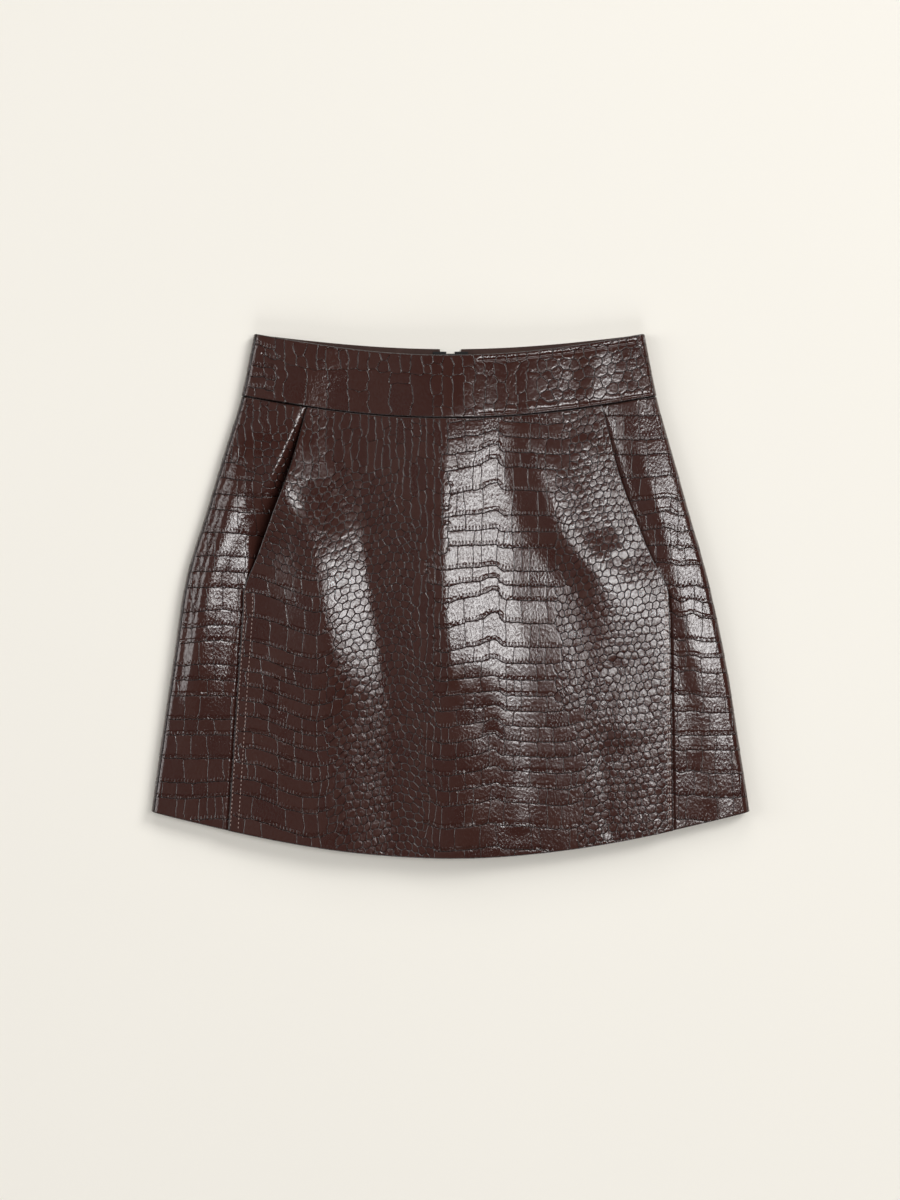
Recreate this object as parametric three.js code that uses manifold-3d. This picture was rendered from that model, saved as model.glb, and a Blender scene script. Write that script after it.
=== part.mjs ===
// Mini skirt in embossed leather, laid flat on its back, with its front panel lapped over two side panels,
// a slanted pocket mouth in each lap, a deep waistband and an open-seam zip at the centre back.
// Millimetres. +X is the right of the laid skirt seen from above, +Y runs from hem to waist, +Z is up from
// the surface that it lies on. The origin is the middle of that underside.
import * as THREE from "three";
import { mergeVertices } from "three/addons/utils/BufferGeometryUtils.js";
import Module from "manifold-3d";

const wasm = await Module();
wasm.setup();

// Walls, seams and laps
const PANEL_WALL = 1.5;
const BAND_WALL = 2.4;
const SEAM_GAP = 0.3;
const LAP = 22;

// Heights over the skirt's own surface: the front panel lies on the side panels,
// and the waistband stands over both
const FRONT_LIFT = PANEL_WALL + SEAM_GAP;
const BAND_LIFT = 2.2;
const BAND_SIDE_LIFT = 0.9;
const BAND_LIFT_RUN = 40;

// Edges that cross the skirt: the level at the centre, and how far the line climbs
// from there to the side folds
const HEM = { centre: -223, climb: 39 };
const FRONT_TOP = { centre: 204, climb: 19 };
const BACK_TOP = { centre: 210.5, climb: 12.5 };
const FRONT_SEAM = { centre: 150.5, climb: 19.5 };
const BACK_SEAM = { centre: 157, climb: 13 };

// Half widths of the laid skirt on each side of its centre line, and the radius of its side folds
const SECTIONS = [
  { y: 223, left: 167, right: 165, fold: 6.2 },
  { y: 170, left: 178, right: 175.5, fold: 6.5 },
  { y: 120, left: 193.5, right: 189.5, fold: 7 },
  { y: 70, left: 208.5, right: 203.5, fold: 7.2 },
  { y: 14, left: 225.5, right: 219.5, fold: 7.4 },
  { y: -60, left: 237, right: 235.5, fold: 7.4 },
  { y: -120, left: 246, right: 245, fold: 7.2 },
  { y: -184, left: 255, right: 255, fold: 7 },
  { y: -223, left: 260, right: 260, fold: 7 },
];

// Where the front panel's edges lie: the pocket mouths above MOUTH.bottom, and the lapped seams below
const PANEL_EDGE = [
  { y: 162, left: 121.5, right: 129 },
  { y: 103, left: 138, right: 143.5 },
  { y: 60, left: 153.5, right: 159.5 },
  { y: 30, left: 165.5, right: 172 },
  { y: 6, left: 175, right: 184.5 },
  { y: -18, left: 176.4, right: 186 },
  { y: -100, left: 182, right: 187.5 },
  { y: -200, left: 188.5, right: 189 },
];
const MOUTH = { top: 160, bottom: 6, run: 28 };
const MOUTH_LIFT = { left: 1.6, right: 0.6 };
const MOUTH_DIP = { left: 2, right: 2.2 };

// The turn of each side fold, from the top, at which the side seam lies, in degrees
const SIDE_SEAM_TURN = { left: 40, right: 90 };

// How the front stands up between its folds: a broad low plateau, and on it soft ridges that run
// from waist to hem. Each has a half width, and fades out over some way before the side fold
const PLATEAU = { rise: 4.5, run: 140 };
const RIDGE_LEVELS = [223, 150, 100, 50, 0, -60, -110, -223];
const HIP_LEVELS = [140, 100, 50, 10, -20, -60, -110, -223];
const SWELLS = {
  leftRidge: {
    run: 48, fade: 48, levels: RIDGE_LEVELS,
    crest: [-118, -146, -143, -122, -112, -102, -96, -88],
    rise: [0.8, 4, 7.6, 7.8, 7.4, 5, 1.6, 1.2],
  },
  centreRidge: {
    run: 67, fade: 48, levels: RIDGE_LEVELS,
    crest: [0, -5, -9, -9, -7, 3, 8, 14],
    rise: [1.2, 6.2, 7.6, 8, 8, 7, 5, 3.2],
  },
  rightRidge: {
    run: 42, fade: 48, levels: RIDGE_LEVELS,
    crest: [68, 68, 82, 102, 133, 144, 146, 146],
    rise: [0.8, 2.8, 4, 3.6, 1.9, 0, 0, 0.4],
  },
  leftHip: {
    run: 33, fade: 10, levels: HIP_LEVELS,
    crest: [-172, -182, -196, -207, -212, -216, -220, -228],
    rise: [0, 4, 5.2, 5.6, 5.4, 4, 1, 0.6],
  },
  rightHip: {
    run: 18, fade: 10, levels: HIP_LEVELS,
    crest: [159, 170, 183, 195, 202, 210, 218, 236],
    rise: [0.6, 1.2, 1.3, 1.4, 1.4, 1.4, 0.8, 0.3],
  },
};

// Back zip: the gap between the leather edges, the tapes and the closed chain of teeth
const ZIP_WINDOW = [
  { y: 211, half: 9.3 },
  { y: 190, half: 5.6 },
  { y: 34, half: 5.6 },
  { y: 28, half: SEAM_GAP / 2 },
  { y: -223, half: SEAM_GAP / 2 },
];
const TAPE = { top: 208.8, bottom: 22, reach: 15, thick: 0.5 };
const TAPE_EDGE = [
  { y: 208.8, half: 3.6 },
  { y: 205.5, half: 3.4 },
  { y: 196.5, half: 0.2 },
  { y: 22, half: 0.2 },
];
const TAPE_LEVEL = [
  { y: 208.8, z: BAND_WALL + SEAM_GAP },
  { y: 160, z: BAND_WALL + SEAM_GAP },
  { y: 140, z: PANEL_WALL + SEAM_GAP },
  { y: 22, z: PANEL_WALL + SEAM_GAP },
];
const CHAIN = { half: 2.2, thick: 0.8, top: 195.6, bottom: 36 };

// Zip slider and its pull, which lie within the thickness of the waistband
const SLIDER = { top: 206.5, length: 10.5, half: 4.2, corner: 1.6, plate: 0.6, outer: 1.6, inner: 3.5 };
const POST = { half: 1.1, from: 0.6, length: 3 };
const BRIDGE = { half: 1.1, foot: 0.7, span: 3.4, low: 0.1, bar: 0.4, y: 200.5 };
const PULL = {
  half: 3.2, arm: 0.9, thick: 0.6, eye: 3.3, length: 21,
  level: 1.05, bar: 0.3, tip: 2.4, join: 0.5,
};

const COLOURS = { leather: 0x3a2320, tape: 0x131212, metal: 0x1b1a1a };

const clamp = (t) => Math.min(1, Math.max(0, t));
const smooth = (t) => clamp(t) ** 2 * (3 - 2 * clamp(t));
const mix = (a, b, t) => a + (b - a) * t;

// A column of a table whose rows run down in y, as straight stretches
function straight(table, key, y) {
  const last = table.length - 2;
  let i = 0;
  while (i < last && y < table[i + 1].y) i++;
  const t = clamp((table[i].y - y) / (table[i].y - table[i + 1].y));
  return mix(table[i][key], table[i + 1][key], t);
}

// The same column as one smooth line: a Hermite curve with the mean slope at each row
function curved(table, key, y) {
  const last = table.length - 2;
  let i = 0;
  while (i < last && y < table[i + 1].y) i++;
  const slope = (k) => {
    const a = table[Math.max(k - 1, 0)];
    const b = table[Math.min(k + 1, last + 1)];
    return (b[key] - a[key]) / (b.y - a.y);
  };
  const h = table[i + 1].y - table[i].y;
  const t = clamp((y - table[i].y) / h);
  const t2 = t * t;
  const t3 = t2 * t;
  const from = (2 * t3 - 3 * t2 + 1) * table[i][key] + (t3 - 2 * t2 + t) * h * slope(i);
  const to = (3 * t2 - 2 * t3) * table[i + 1][key] + (t3 - t2) * h * slope(i + 1);
  return from + to;
}

const sideOf = (s) => (s < 0 ? "left" : "right");
const halfWidth = (side, y) => curved(SECTIONS, side, y);
const foldRadius = (y) => curved(SECTIONS, "fold", y);
const flatHalf = (side, y) => halfWidth(side, y) - foldRadius(y);
const panelEdge = (side, y) => curved(PANEL_EDGE, side, y);

// Each swell with its crest and rise in rows, one for each level
const swells = Object.values(SWELLS).map(({ run, fade, levels, crest, rise }) =>
  ({ run, fade, rows: levels.map((y, k) => ({ y, crest: crest[k], rise: rise[k] })) }));

// Height of the front over the tops of the side folds
function crown(x, y) {
  const inside = flatHalf(sideOf(x), y) - Math.abs(x);
  let height = PLATEAU.rise * smooth(inside / PLATEAU.run);
  for (const { run, fade, rows } of swells) {
    const away = Math.abs(x - curved(rows, "crest", y)) / run;
    height += curved(rows, "rise", y) * smooth(1 - away) * smooth(inside / fade);
  }
  return height;
}

// The skirt's own surface: s is the way round from the centre front, right positive, in millimetres
function surface(s, y) {
  const side = sideOf(s);
  const mirror = Math.sign(s) || 1;
  const q = Math.abs(s);
  const r = foldRadius(y);
  const flat = flatHalf(side, y);
  if (q < flat) return new THREE.Vector3(s, y, 2 * r + crown(s, y));
  const turn = (q - flat) / r;
  if (turn < Math.PI) {
    return new THREE.Vector3(mirror * (flat + r * Math.sin(turn)), y, r * (1 + Math.cos(turn)));
  }
  return new THREE.Vector3(mirror * (flat - (q - flat - Math.PI * r)), y, 0);
}

// 1 on the front, falling through the fold to 0 on the back
function frontness(s, y) {
  const turn = (Math.abs(s) - flatHalf(sideOf(s), y)) / foldRadius(y);
  return (1 + Math.cos(Math.PI * clamp(turn / Math.PI))) / 2;
}

function outward(s, y) {
  const step = 0.2;
  const along = surface(s + step, y).sub(surface(s - step, y));
  const up = surface(s, y + step).sub(surface(s, y - step));
  return along.cross(up).normalize();
}

// Ways round at which seams lie
const foldStart = (sign) => (y) => sign * flatHalf(sideOf(sign), y);
const foldEnd = (sign) => (y) => sign * (flatHalf(sideOf(sign), y) + Math.PI * foldRadius(y));
const sideSeam = (sign) => (y) => {
  const side = sideOf(sign);
  return sign * (flatHalf(side, y) + THREE.MathUtils.degToRad(SIDE_SEAM_TURN[side]) * foldRadius(y));
};
const centreBack = (sign) => (y) =>
  foldEnd(sign)(y) + sign * (flatHalf(sideOf(sign), y) - straight(ZIP_WINDOW, "half", y));
const frontEdge = (sign) => (y) => sign * panelEdge(sideOf(sign), y);
const moved = (line, by) => (y) => line(y) + by;

// A crossing edge: its level at a point of the surface, from the centre line to the side fold
function level(edge, p) {
  const share = Math.min(1, Math.abs(p.x) / halfWidth(sideOf(p.x), p.y));
  return edge.centre + edge.climb * (1 - Math.cos((Math.PI / 2) * share));
}
const crossing = (front, back, by) => (s, p) =>
  level(frontness(s, p.y) > 0.5 ? front : back, p) + by;

// How far up the pocket mouth a level lies, as a swell from 0 at its ends to 1 in its middle
function mouthSwell(y) {
  const t = clamp((y - MOUTH.bottom) / (MOUTH.top - MOUTH.bottom));
  return Math.sin(Math.PI * t) ** 1.5;
}

// Heights over the skirt's own surface
function frontPanelLift(s, y) {
  const side = sideOf(s);
  const inside = panelEdge(side, y) - Math.abs(s);
  return FRONT_LIFT + MOUTH_LIFT[side] * mouthSwell(y) * smooth(1 - inside / MOUTH.run);
}
function sidePanelLift(s, y) {
  const side = sideOf(s);
  const outside = Math.abs(s) - panelEdge(side, y);
  return -MOUTH_DIP[side] * mouthSwell(y) * smooth(1 - Math.max(0, outside) / MOUTH.run);
}
function bandLift(s, y) {
  const inside = flatHalf(sideOf(s), y) - Math.abs(s);
  return frontness(s, y) * mix(BAND_SIDE_LIFT, BAND_LIFT, smooth(inside / BAND_LIFT_RUN));
}
const noLift = () => 0;

// Even steps from 0 to 1, with extra levels put in
function steps(count, ...extra) {
  const even = Array.from({ length: count + 1 }, (_, i) => i / count);
  const kept = even.filter((t) => !extra.some((e) => Math.abs(e - t) < 0.35 / count));
  return [...kept, ...extra].sort((a, b) => a - b);
}

// One closed body from a grid of outer points and a grid of inner points
function wallGeometry(outer, inner) {
  const across = outer[0].length;
  const flatList = [...outer.flat(), ...inner.flat()];
  const half = outer.length * across;
  const at = (j, i, face) => face * half + j * across + i;
  const index = [];
  const quad = (a, b, c, d) => index.push(a, b, c, a, c, d);
  for (let j = 0; j + 1 < outer.length; j++) {
    for (let i = 0; i + 1 < across; i++) {
      quad(at(j, i, 0), at(j, i + 1, 0), at(j + 1, i + 1, 0), at(j + 1, i, 0));
      quad(at(j, i, 1), at(j + 1, i, 1), at(j + 1, i + 1, 1), at(j, i + 1, 1));
    }
    quad(at(j, 0, 0), at(j + 1, 0, 0), at(j + 1, 0, 1), at(j, 0, 1));
    quad(at(j, across - 1, 0), at(j, across - 1, 1), at(j + 1, across - 1, 1), at(j + 1, across - 1, 0));
  }
  const last = outer.length - 1;
  for (let i = 0; i + 1 < across; i++) {
    quad(at(0, i, 0), at(0, i, 1), at(0, i + 1, 1), at(0, i + 1, 0));
    quad(at(last, i, 0), at(last, i + 1, 0), at(last, i + 1, 1), at(last, i, 1));
  }
  const geometry = new THREE.BufferGeometry();
  const positions = new Float32Array(flatList.flatMap((p) => [p.x, p.y, p.z]));
  geometry.setAttribute("position", new THREE.BufferAttribute(positions, 3));
  geometry.setIndex(index);
  geometry.computeVertexNormals();
  return geometry;
}

// A sewn panel: columns lie between the given lines round the skirt, rows between two crossing edges
function panel({ lines, columns, rows, bottom, top, lift, wall }) {
  const places = lines.slice(0, -1).flatMap((_, k) =>
    steps(columns[k]).slice(k ? 1 : 0).map((t) => ({ k, t })));
  const outer = [];
  const inner = [];
  for (const v of rows) {
    const outerRow = [];
    const innerRow = [];
    for (const { k, t } of places) {
      let y = mix(HEM.centre, FRONT_TOP.centre, v);
      let s = 0;
      for (let pass = 0; pass < 8; pass++) {
        s = mix(lines[k](y), lines[k + 1](y), t);
        const p = surface(s, y);
        y = mix(bottom(s, p), top(s, p), v);
      }
      const normal = outward(s, y);
      const out = surface(s, y).addScaledVector(normal, lift(s, y));
      outerRow.push(out);
      innerRow.push(out.clone().addScaledVector(normal, -wall));
    }
    outer.push(outerRow);
    inner.push(innerRow);
  }
  return wallGeometry(outer, inner);
}

const half = SEAM_GAP / 2;
const hem = crossing(HEM, HEM, 0);
const underBand = crossing(FRONT_SEAM, BACK_SEAM, -half);
const bandFoot = crossing(FRONT_SEAM, BACK_SEAM, half);
const bandTop = crossing(FRONT_TOP, BACK_TOP, 0);

// Shares of the way up at which the pocket mouth ends, and at which the back gap for the zip begins
const MOUTH_ROW = 0.57;
const ZIP_ROWS = [0.6605, 0.6763];

function frontPanel() {
  return panel({
    lines: [frontEdge(-1), frontEdge(1)],
    columns: [36],
    rows: steps(20, MOUTH_ROW),
    bottom: hem,
    top: underBand,
    lift: frontPanelLift,
    wall: PANEL_WALL,
  });
}

function sidePanel(sign) {
  const lines = [
    moved(frontEdge(sign), -sign * LAP),
    frontEdge(sign),
    foldStart(sign),
    moved(sideSeam(sign), -sign * half),
  ];
  const columns = [3, 9, sign < 0 ? 4 : 7];
  return panel({
    lines: sign > 0 ? lines : lines.reverse(),
    columns: sign > 0 ? columns : columns.reverse(),
    rows: steps(18, MOUTH_ROW),
    bottom: hem,
    top: underBand,
    lift: sidePanelLift,
    wall: PANEL_WALL,
  });
}

function backPanel(sign) {
  const lines = [moved(sideSeam(sign), sign * half), foldEnd(sign), centreBack(sign)];
  const columns = [sign < 0 ? 9 : 6, 7];
  return panel({
    lines: sign > 0 ? lines : lines.reverse(),
    columns: sign > 0 ? columns : columns.reverse(),
    rows: steps(14, ...ZIP_ROWS),
    bottom: hem,
    top: underBand,
    lift: noLift,
    wall: PANEL_WALL,
  });
}

function frontWaistband() {
  return panel({
    lines: [moved(sideSeam(-1), half), foldStart(-1), foldStart(1), moved(sideSeam(1), -half)],
    columns: [4, 32, 7],
    rows: steps(4),
    bottom: bandFoot,
    top: bandTop,
    lift: bandLift,
    wall: BAND_WALL,
  });
}

function backWaistband(sign) {
  const lines = [moved(sideSeam(sign), sign * half), foldEnd(sign), centreBack(sign)];
  const columns = [sign < 0 ? 9 : 6, 5];
  return panel({
    lines: sign > 0 ? lines : lines.reverse(),
    columns: sign > 0 ? columns : columns.reverse(),
    rows: steps(4, 0.6),
    bottom: bandFoot,
    top: bandTop,
    lift: bandLift,
    wall: BAND_WALL,
  });
}

// A level strip along the centre back: lower and upper faces between two distances from the centre line
function strip(levels, near, far, base, thick) {
  const row = (y, dz) => [near(y), far(y)].map((x) => new THREE.Vector3(x, y, base(y) + dz));
  const low = levels.map((y) => row(y, 0));
  const high = levels.map((y) => row(y, thick));
  return wallGeometry(high, low);
}

const tapeLevel = (y) => straight(TAPE_LEVEL, "z", y);
const tapeLevels = [22, 60, 100, 140, 146, 154, 160, 180, 196.5, 199.5, 202.5, 205.5, TAPE.top];

function zipTape(sign) {
  const near = (y) => sign * straight(TAPE_EDGE, "half", y);
  const far = () => sign * TAPE.reach;
  const [from, to] = sign > 0 ? [near, far] : [far, near];
  return strip(tapeLevels, from, to, tapeLevel, TAPE.thick);
}

// The closed chain lies on the tapes' outer face, where their edges meet
function zipChain() {
  const levels = [CHAIN.bottom, 60, 100, 140, 146, 154, 160, 180, CHAIN.top];
  const base = (y) => tapeLevel(y) - SEAM_GAP - CHAIN.thick;
  return strip(levels, () => -CHAIN.half, () => CHAIN.half, base, CHAIN.thick);
}

// Solids of plain blocks, joined
function block(x0, x1, y0, y1, z0, z1) {
  const box = new THREE.BoxGeometry(x1 - x0, y1 - y0, z1 - z0);
  return box.translate((x0 + x1) / 2, (y0 + y1) / 2, (z0 + z1) / 2);
}

function solidFrom(geometry) {
  const bare = geometry.index ? geometry.toNonIndexed() : geometry.clone();
  bare.deleteAttribute("normal");
  bare.deleteAttribute("uv");
  const merged = mergeVertices(bare, 1e-4);
  return new wasm.Manifold(
    new wasm.Mesh({
      numProp: 3,
      vertProperties: new Float32Array(merged.attributes.position.array),
      triVerts: new Uint32Array(merged.index.array),
    }),
  );
}

function geometryFrom(solid) {
  const mesh = solid.getMesh();
  const geometry = new THREE.BufferGeometry();
  geometry.setAttribute("position", new THREE.BufferAttribute(new Float32Array(mesh.vertProperties), 3));
  geometry.setIndex(new THREE.BufferAttribute(new Uint32Array(mesh.triVerts), 1));
  geometry.computeVertexNormals();
  return geometry;
}

const joined = (...geometries) => geometryFrom(geometries.map(solidFrom).reduce((a, b) => a.add(b)));

// A plate with round corners, lying level
function plate(halfX, y0, y1, z0, thick, corner) {
  const shape = new THREE.Shape();
  shape.moveTo(-halfX + corner, y0);
  shape.lineTo(halfX - corner, y0);
  shape.absarc(halfX - corner, y0 + corner, corner, -Math.PI / 2, 0);
  shape.absarc(halfX - corner, y1 - corner, corner, 0, Math.PI / 2);
  shape.absarc(-halfX + corner, y1 - corner, corner, Math.PI / 2, Math.PI);
  shape.absarc(-halfX + corner, y0 + corner, corner, Math.PI, 1.5 * Math.PI);
  const geometry = new THREE.ExtrudeGeometry(shape, { depth: thick, bevelEnabled: false, curveSegments: 4 });
  return geometry.translate(0, 0, z0);
}

function zipSlider() {
  const y0 = SLIDER.top - SLIDER.length;
  const outerPlate = plate(SLIDER.half, y0, SLIDER.top, SLIDER.outer, SLIDER.plate, SLIDER.corner);
  const innerPlate = plate(SLIDER.half, y0, SLIDER.top, SLIDER.inner, SLIDER.plate, SLIDER.corner);
  const postFrom = SLIDER.outer + SLIDER.plate / 2;
  const postTo = SLIDER.inner + SLIDER.plate / 2;
  const postTop = SLIDER.top - POST.from;
  const post = block(-POST.half, POST.half, postTop - POST.length, postTop, postFrom, postTo);
  const end = BRIDGE.span / 2;
  const sunk = SLIDER.outer + SLIDER.plate / 2;
  const foot = (y) => block(-BRIDGE.half, BRIDGE.half, y, y + BRIDGE.foot, BRIDGE.low, sunk);
  const barTop = BRIDGE.low + BRIDGE.bar;
  const bar = block(-BRIDGE.half, BRIDGE.half, BRIDGE.y - end, BRIDGE.y + end, BRIDGE.low, barTop);
  return joined(outerPlate, innerPlate, post, foot(BRIDGE.y - end), foot(BRIDGE.y + end - BRIDGE.foot), bar);
}

// The pull: a bar through the bridge, two arms and a tab, all round the bar's own axis
function zipPull() {
  const low = PULL.level - PULL.thick / 2;
  const high = PULL.level + PULL.thick / 2;
  const eyeHalf = PULL.half - PULL.arm;
  const bar = new THREE.CylinderGeometry(PULL.bar, PULL.bar, 2 * PULL.half - PULL.arm, 10);
  bar.rotateZ(Math.PI / 2).translate(0, BRIDGE.y, PULL.level);
  const tabTop = BRIDGE.y - PULL.eye;
  const arm = (x) => block(x, x + PULL.arm, tabTop - PULL.join, BRIDGE.y + PULL.bar, low, high);
  const tab = plate(PULL.half, BRIDGE.y - PULL.length, tabTop, low, PULL.thick, PULL.tip);
  const neck = block(-PULL.half, PULL.half, tabTop - PULL.tip - PULL.join, tabTop, low, high);
  return joined(bar, arm(-PULL.half), arm(eyeHalf), tab, neck);
}

function mesh(name, geometry, colour, roughness, metalness) {
  const material = new THREE.MeshStandardMaterial({ color: colour, roughness, metalness });
  const made = new THREE.Mesh(geometry, material);
  made.name = name;
  return made;
}
const leather = (name, geometry) => mesh(name, geometry, COLOURS.leather, 0.35, 0);
const tape = (name, geometry) => mesh(name, geometry, COLOURS.tape, 0.9, 0);
const metal = (name, geometry) => mesh(name, geometry, COLOURS.metal, 0.4, 0.8);

const skirt = new THREE.Group();
skirt.add(
  leather("front_waistband", frontWaistband()),
  leather("back_waistband_left", backWaistband(-1)),
  leather("back_waistband_right", backWaistband(1)),
  leather("front_panel", frontPanel()),
  leather("side_panel_left", sidePanel(-1)),
  leather("side_panel_right", sidePanel(1)),
  leather("back_panel_left", backPanel(-1)),
  leather("back_panel_right", backPanel(1)),
  tape("zip_tape_left", zipTape(-1)),
  tape("zip_tape_right", zipTape(1)),
  metal("zip_chain", zipChain()),
  metal("zip_slider", zipSlider()),
  metal("zip_pull", zipPull()),
);

export default skirt;
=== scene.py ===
"""Mini skirt in scale-embossed leather, laid flat on its back and seen from straight above.
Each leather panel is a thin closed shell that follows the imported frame. Its scales are real relief: a net
of grooves is drawn on the flat cloth, the cloth is meshed along them, and the mesh is laid on the skirt."""

import math

import bpy
import numpy as np
from bpy.props import FloatProperty, FloatVectorProperty, PointerProperty
from bpy.types import Operator, Panel, PropertyGroup
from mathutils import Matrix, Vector, kdtree
from mathutils.geometry import delaunay_2d_cdt


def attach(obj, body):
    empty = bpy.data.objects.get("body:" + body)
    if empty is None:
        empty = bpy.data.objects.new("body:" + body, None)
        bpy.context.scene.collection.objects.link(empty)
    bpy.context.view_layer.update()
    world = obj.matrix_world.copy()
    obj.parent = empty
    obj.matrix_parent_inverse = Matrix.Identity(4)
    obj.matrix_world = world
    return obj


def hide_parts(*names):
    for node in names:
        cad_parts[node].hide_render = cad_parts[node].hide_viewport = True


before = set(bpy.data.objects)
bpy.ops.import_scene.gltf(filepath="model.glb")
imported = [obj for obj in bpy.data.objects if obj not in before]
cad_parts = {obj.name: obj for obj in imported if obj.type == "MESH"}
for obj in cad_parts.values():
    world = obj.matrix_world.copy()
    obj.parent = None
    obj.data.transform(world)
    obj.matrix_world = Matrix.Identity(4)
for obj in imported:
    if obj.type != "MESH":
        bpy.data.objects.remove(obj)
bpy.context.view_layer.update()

bl_info = {
    "name": "Laid leather mini skirt",
    "version": (1, 0, 0),
    "blender": (4, 5, 0),
    "location": "3D View > Sidebar > Skirt",
    "description": "Makes the embossed leather skirt, its stitching and zip, and the studio round it",
    "category": "Object",
}

MM = 0.001
BODY = "skirt"

# The skirt's cut, in millimetres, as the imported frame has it
PANEL_WALL = 1.5
BAND_WALL = 2.4
SEAM_GAP = 0.3
LAP = 22
FRONT_LIFT = PANEL_WALL + SEAM_GAP
BAND_LIFT = 2.2
BAND_SIDE_LIFT = 0.9
BAND_LIFT_RUN = 40

# Edges that cross the skirt: level at the centre, and climb from there to the side folds
HEM = {"centre": -223, "climb": 39}
FRONT_TOP = {"centre": 204, "climb": 19}
BACK_TOP = {"centre": 210.5, "climb": 12.5}
FRONT_SEAM = {"centre": 150.5, "climb": 19.5}
BACK_SEAM = {"centre": 157, "climb": 13}

# Half widths of the laid skirt, and the radius of its side folds, from the waist down
SECTIONS = {
    "y": [223, 170, 120, 70, 14, -60, -120, -184, -223],
    "left": [167, 178, 193.5, 208.5, 225.5, 237, 246, 255, 260],
    "right": [165, 175.5, 189.5, 203.5, 219.5, 235.5, 245, 255, 260],
    "fold": [6.2, 6.5, 7, 7.2, 7.4, 7.4, 7.2, 7, 7],
}
# The front panel's edges: pocket mouths above MOUTH's bottom, lapped seams below it
PANEL_EDGE = {
    "y": [162, 103, 60, 30, 6, -18, -100, -200],
    "left": [121.5, 138, 153.5, 165.5, 175, 176.4, 182, 188.5],
    "right": [129, 143.5, 159.5, 172, 184.5, 186, 187.5, 189],
}
MOUTH = {"top": 160, "bottom": 6, "run": 28}
MOUTH_LIFT = {"left": 1.6, "right": 0.6}
MOUTH_DIP = {"left": 2, "right": 2.2}
SIDE_SEAM_TURN = {"left": 40, "right": 90}

# How the front stands between its folds
PLATEAU = {"rise": 4.5, "run": 140}
RIDGES = {
    "y": [223, 150, 100, 50, 0, -60, -110, -223],
    "crest_left": [-118, -146, -143, -122, -112, -102, -96, -88],
    "rise_left": [0.8, 4, 7.6, 7.8, 7.4, 5, 1.6, 1.2],
    "crest_centre": [0, -5, -9, -9, -7, 3, 8, 14],
    "rise_centre": [1.2, 6.2, 7.6, 8, 8, 7, 5, 3.2],
    "crest_right": [68, 68, 82, 102, 133, 144, 146, 146],
    "rise_right": [0.8, 2.8, 4, 3.6, 1.9, 0, 0, 0.4],
}
RIDGE_RUN = {"left": 48, "centre": 67, "right": 42}
RIDGE_FADE = 48
# A narrower swell over each hip, outside the pocket
HIPS = {
    "y": [140, 100, 50, 10, -20, -60, -110, -223],
    "crest_left": [-172, -182, -196, -207, -212, -216, -220, -228],
    "rise_left": [0, 4, 5.2, 5.6, 5.4, 4, 1, 0.6],
    "crest_right": [159, 170, 183, 195, 202, 210, 218, 236],
    "rise_right": [0.6, 1.2, 1.3, 1.4, 1.4, 1.4, 0.8, 0.3],
}
HIP_RUN = {"left": 33, "right": 18}
HIP_FADE = 10

# Centre back: half the gap between the leather edges
ZIP_WINDOW = {"y": [211, 190, 34, 28, -223], "half": [9.3, 5.6, 5.6, SEAM_GAP / 2, SEAM_GAP / 2]}

# Kinds of scale: small round ones, wide belly plates, squares between the two, and upright slips, single
# or double
ROUND, BELLY, SQUARE, LONG, FORKED = range(5)
# The grooves between scales: depth and half width in millimetres
GROOVES = {
    "ring": (0.36, 0.56),
    "row": (0.44, 0.56),
    "cross": (0.14, 0.42),
    "long": (0.36, 0.6),
    "long_end": (0.06, 0.42),
}
# The depth of groove that the leather's own setting scales
RING_DEPTH = 0.4
# The fine grid that holds the pattern, how far grooves are felt, and how far the creases over a row reach
GRID = 0.3
REACH = 2.7
FRINGE = 4.4
# Spacing of the mesh's free points on the outer and the inner face
OUTER_FIELD = 3.0
INNER_FIELD = 9


def smooth(t):
    """Smoothstep from 0 to 1."""
    t = np.clip(t, 0, 1)
    return t * t * (3 - 2 * t)


def curved(table, key, y):
    """A column of a table whose rows run down in y, as one smooth line."""
    ys = np.array(table["y"], float)
    values = np.array(table[key], float)
    count = len(ys)
    above = np.maximum(np.arange(count) - 1, 0)
    below = np.minimum(np.arange(count) + 1, count - 1)
    slope = (values[below] - values[above]) / (ys[below] - ys[above])
    y = np.asarray(y, float)
    i = np.minimum(np.searchsorted(-ys[1:], -y, side="left"), count - 2)
    h = ys[i + 1] - ys[i]
    t = np.clip((y - ys[i]) / h, 0, 1)
    start = (2 * t**3 - 3 * t**2 + 1) * values[i] + (t**3 - 2 * t**2 + t) * h * slope[i]
    return start + (3 * t**2 - 2 * t**3) * values[i + 1] + (t**3 - t**2) * h * slope[i + 1]


def straight(table, key, y):
    """The same column as straight stretches."""
    return np.interp(-np.asarray(y, float), -np.array(table["y"], float), np.array(table[key], float))


def by_side(s, left, right):
    """One value left of the centre front, another right of it."""
    return np.where(np.asarray(s) < 0, left, right)


def half_width(s, y):
    """From the centre to the outside of a side fold."""
    return by_side(s, curved(SECTIONS, "left", y), curved(SECTIONS, "right", y))


def flat_half(s, y):
    """From the centre to where the cloth starts to turn."""
    return half_width(s, y) - curved(SECTIONS, "fold", y)


def panel_edge(s, y):
    return by_side(s, curved(PANEL_EDGE, "left", y), curved(PANEL_EDGE, "right", y))


def swells(x, y, table, runs):
    """The rise of soft ridges that run down the skirt, each with its crest line and half width."""
    total = 0
    for name, run in runs.items():
        away = np.abs(x - curved(table, "crest_" + name, y)) / run
        total = total + curved(table, "rise_" + name, y) * smooth(1 - away)
    return total


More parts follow.
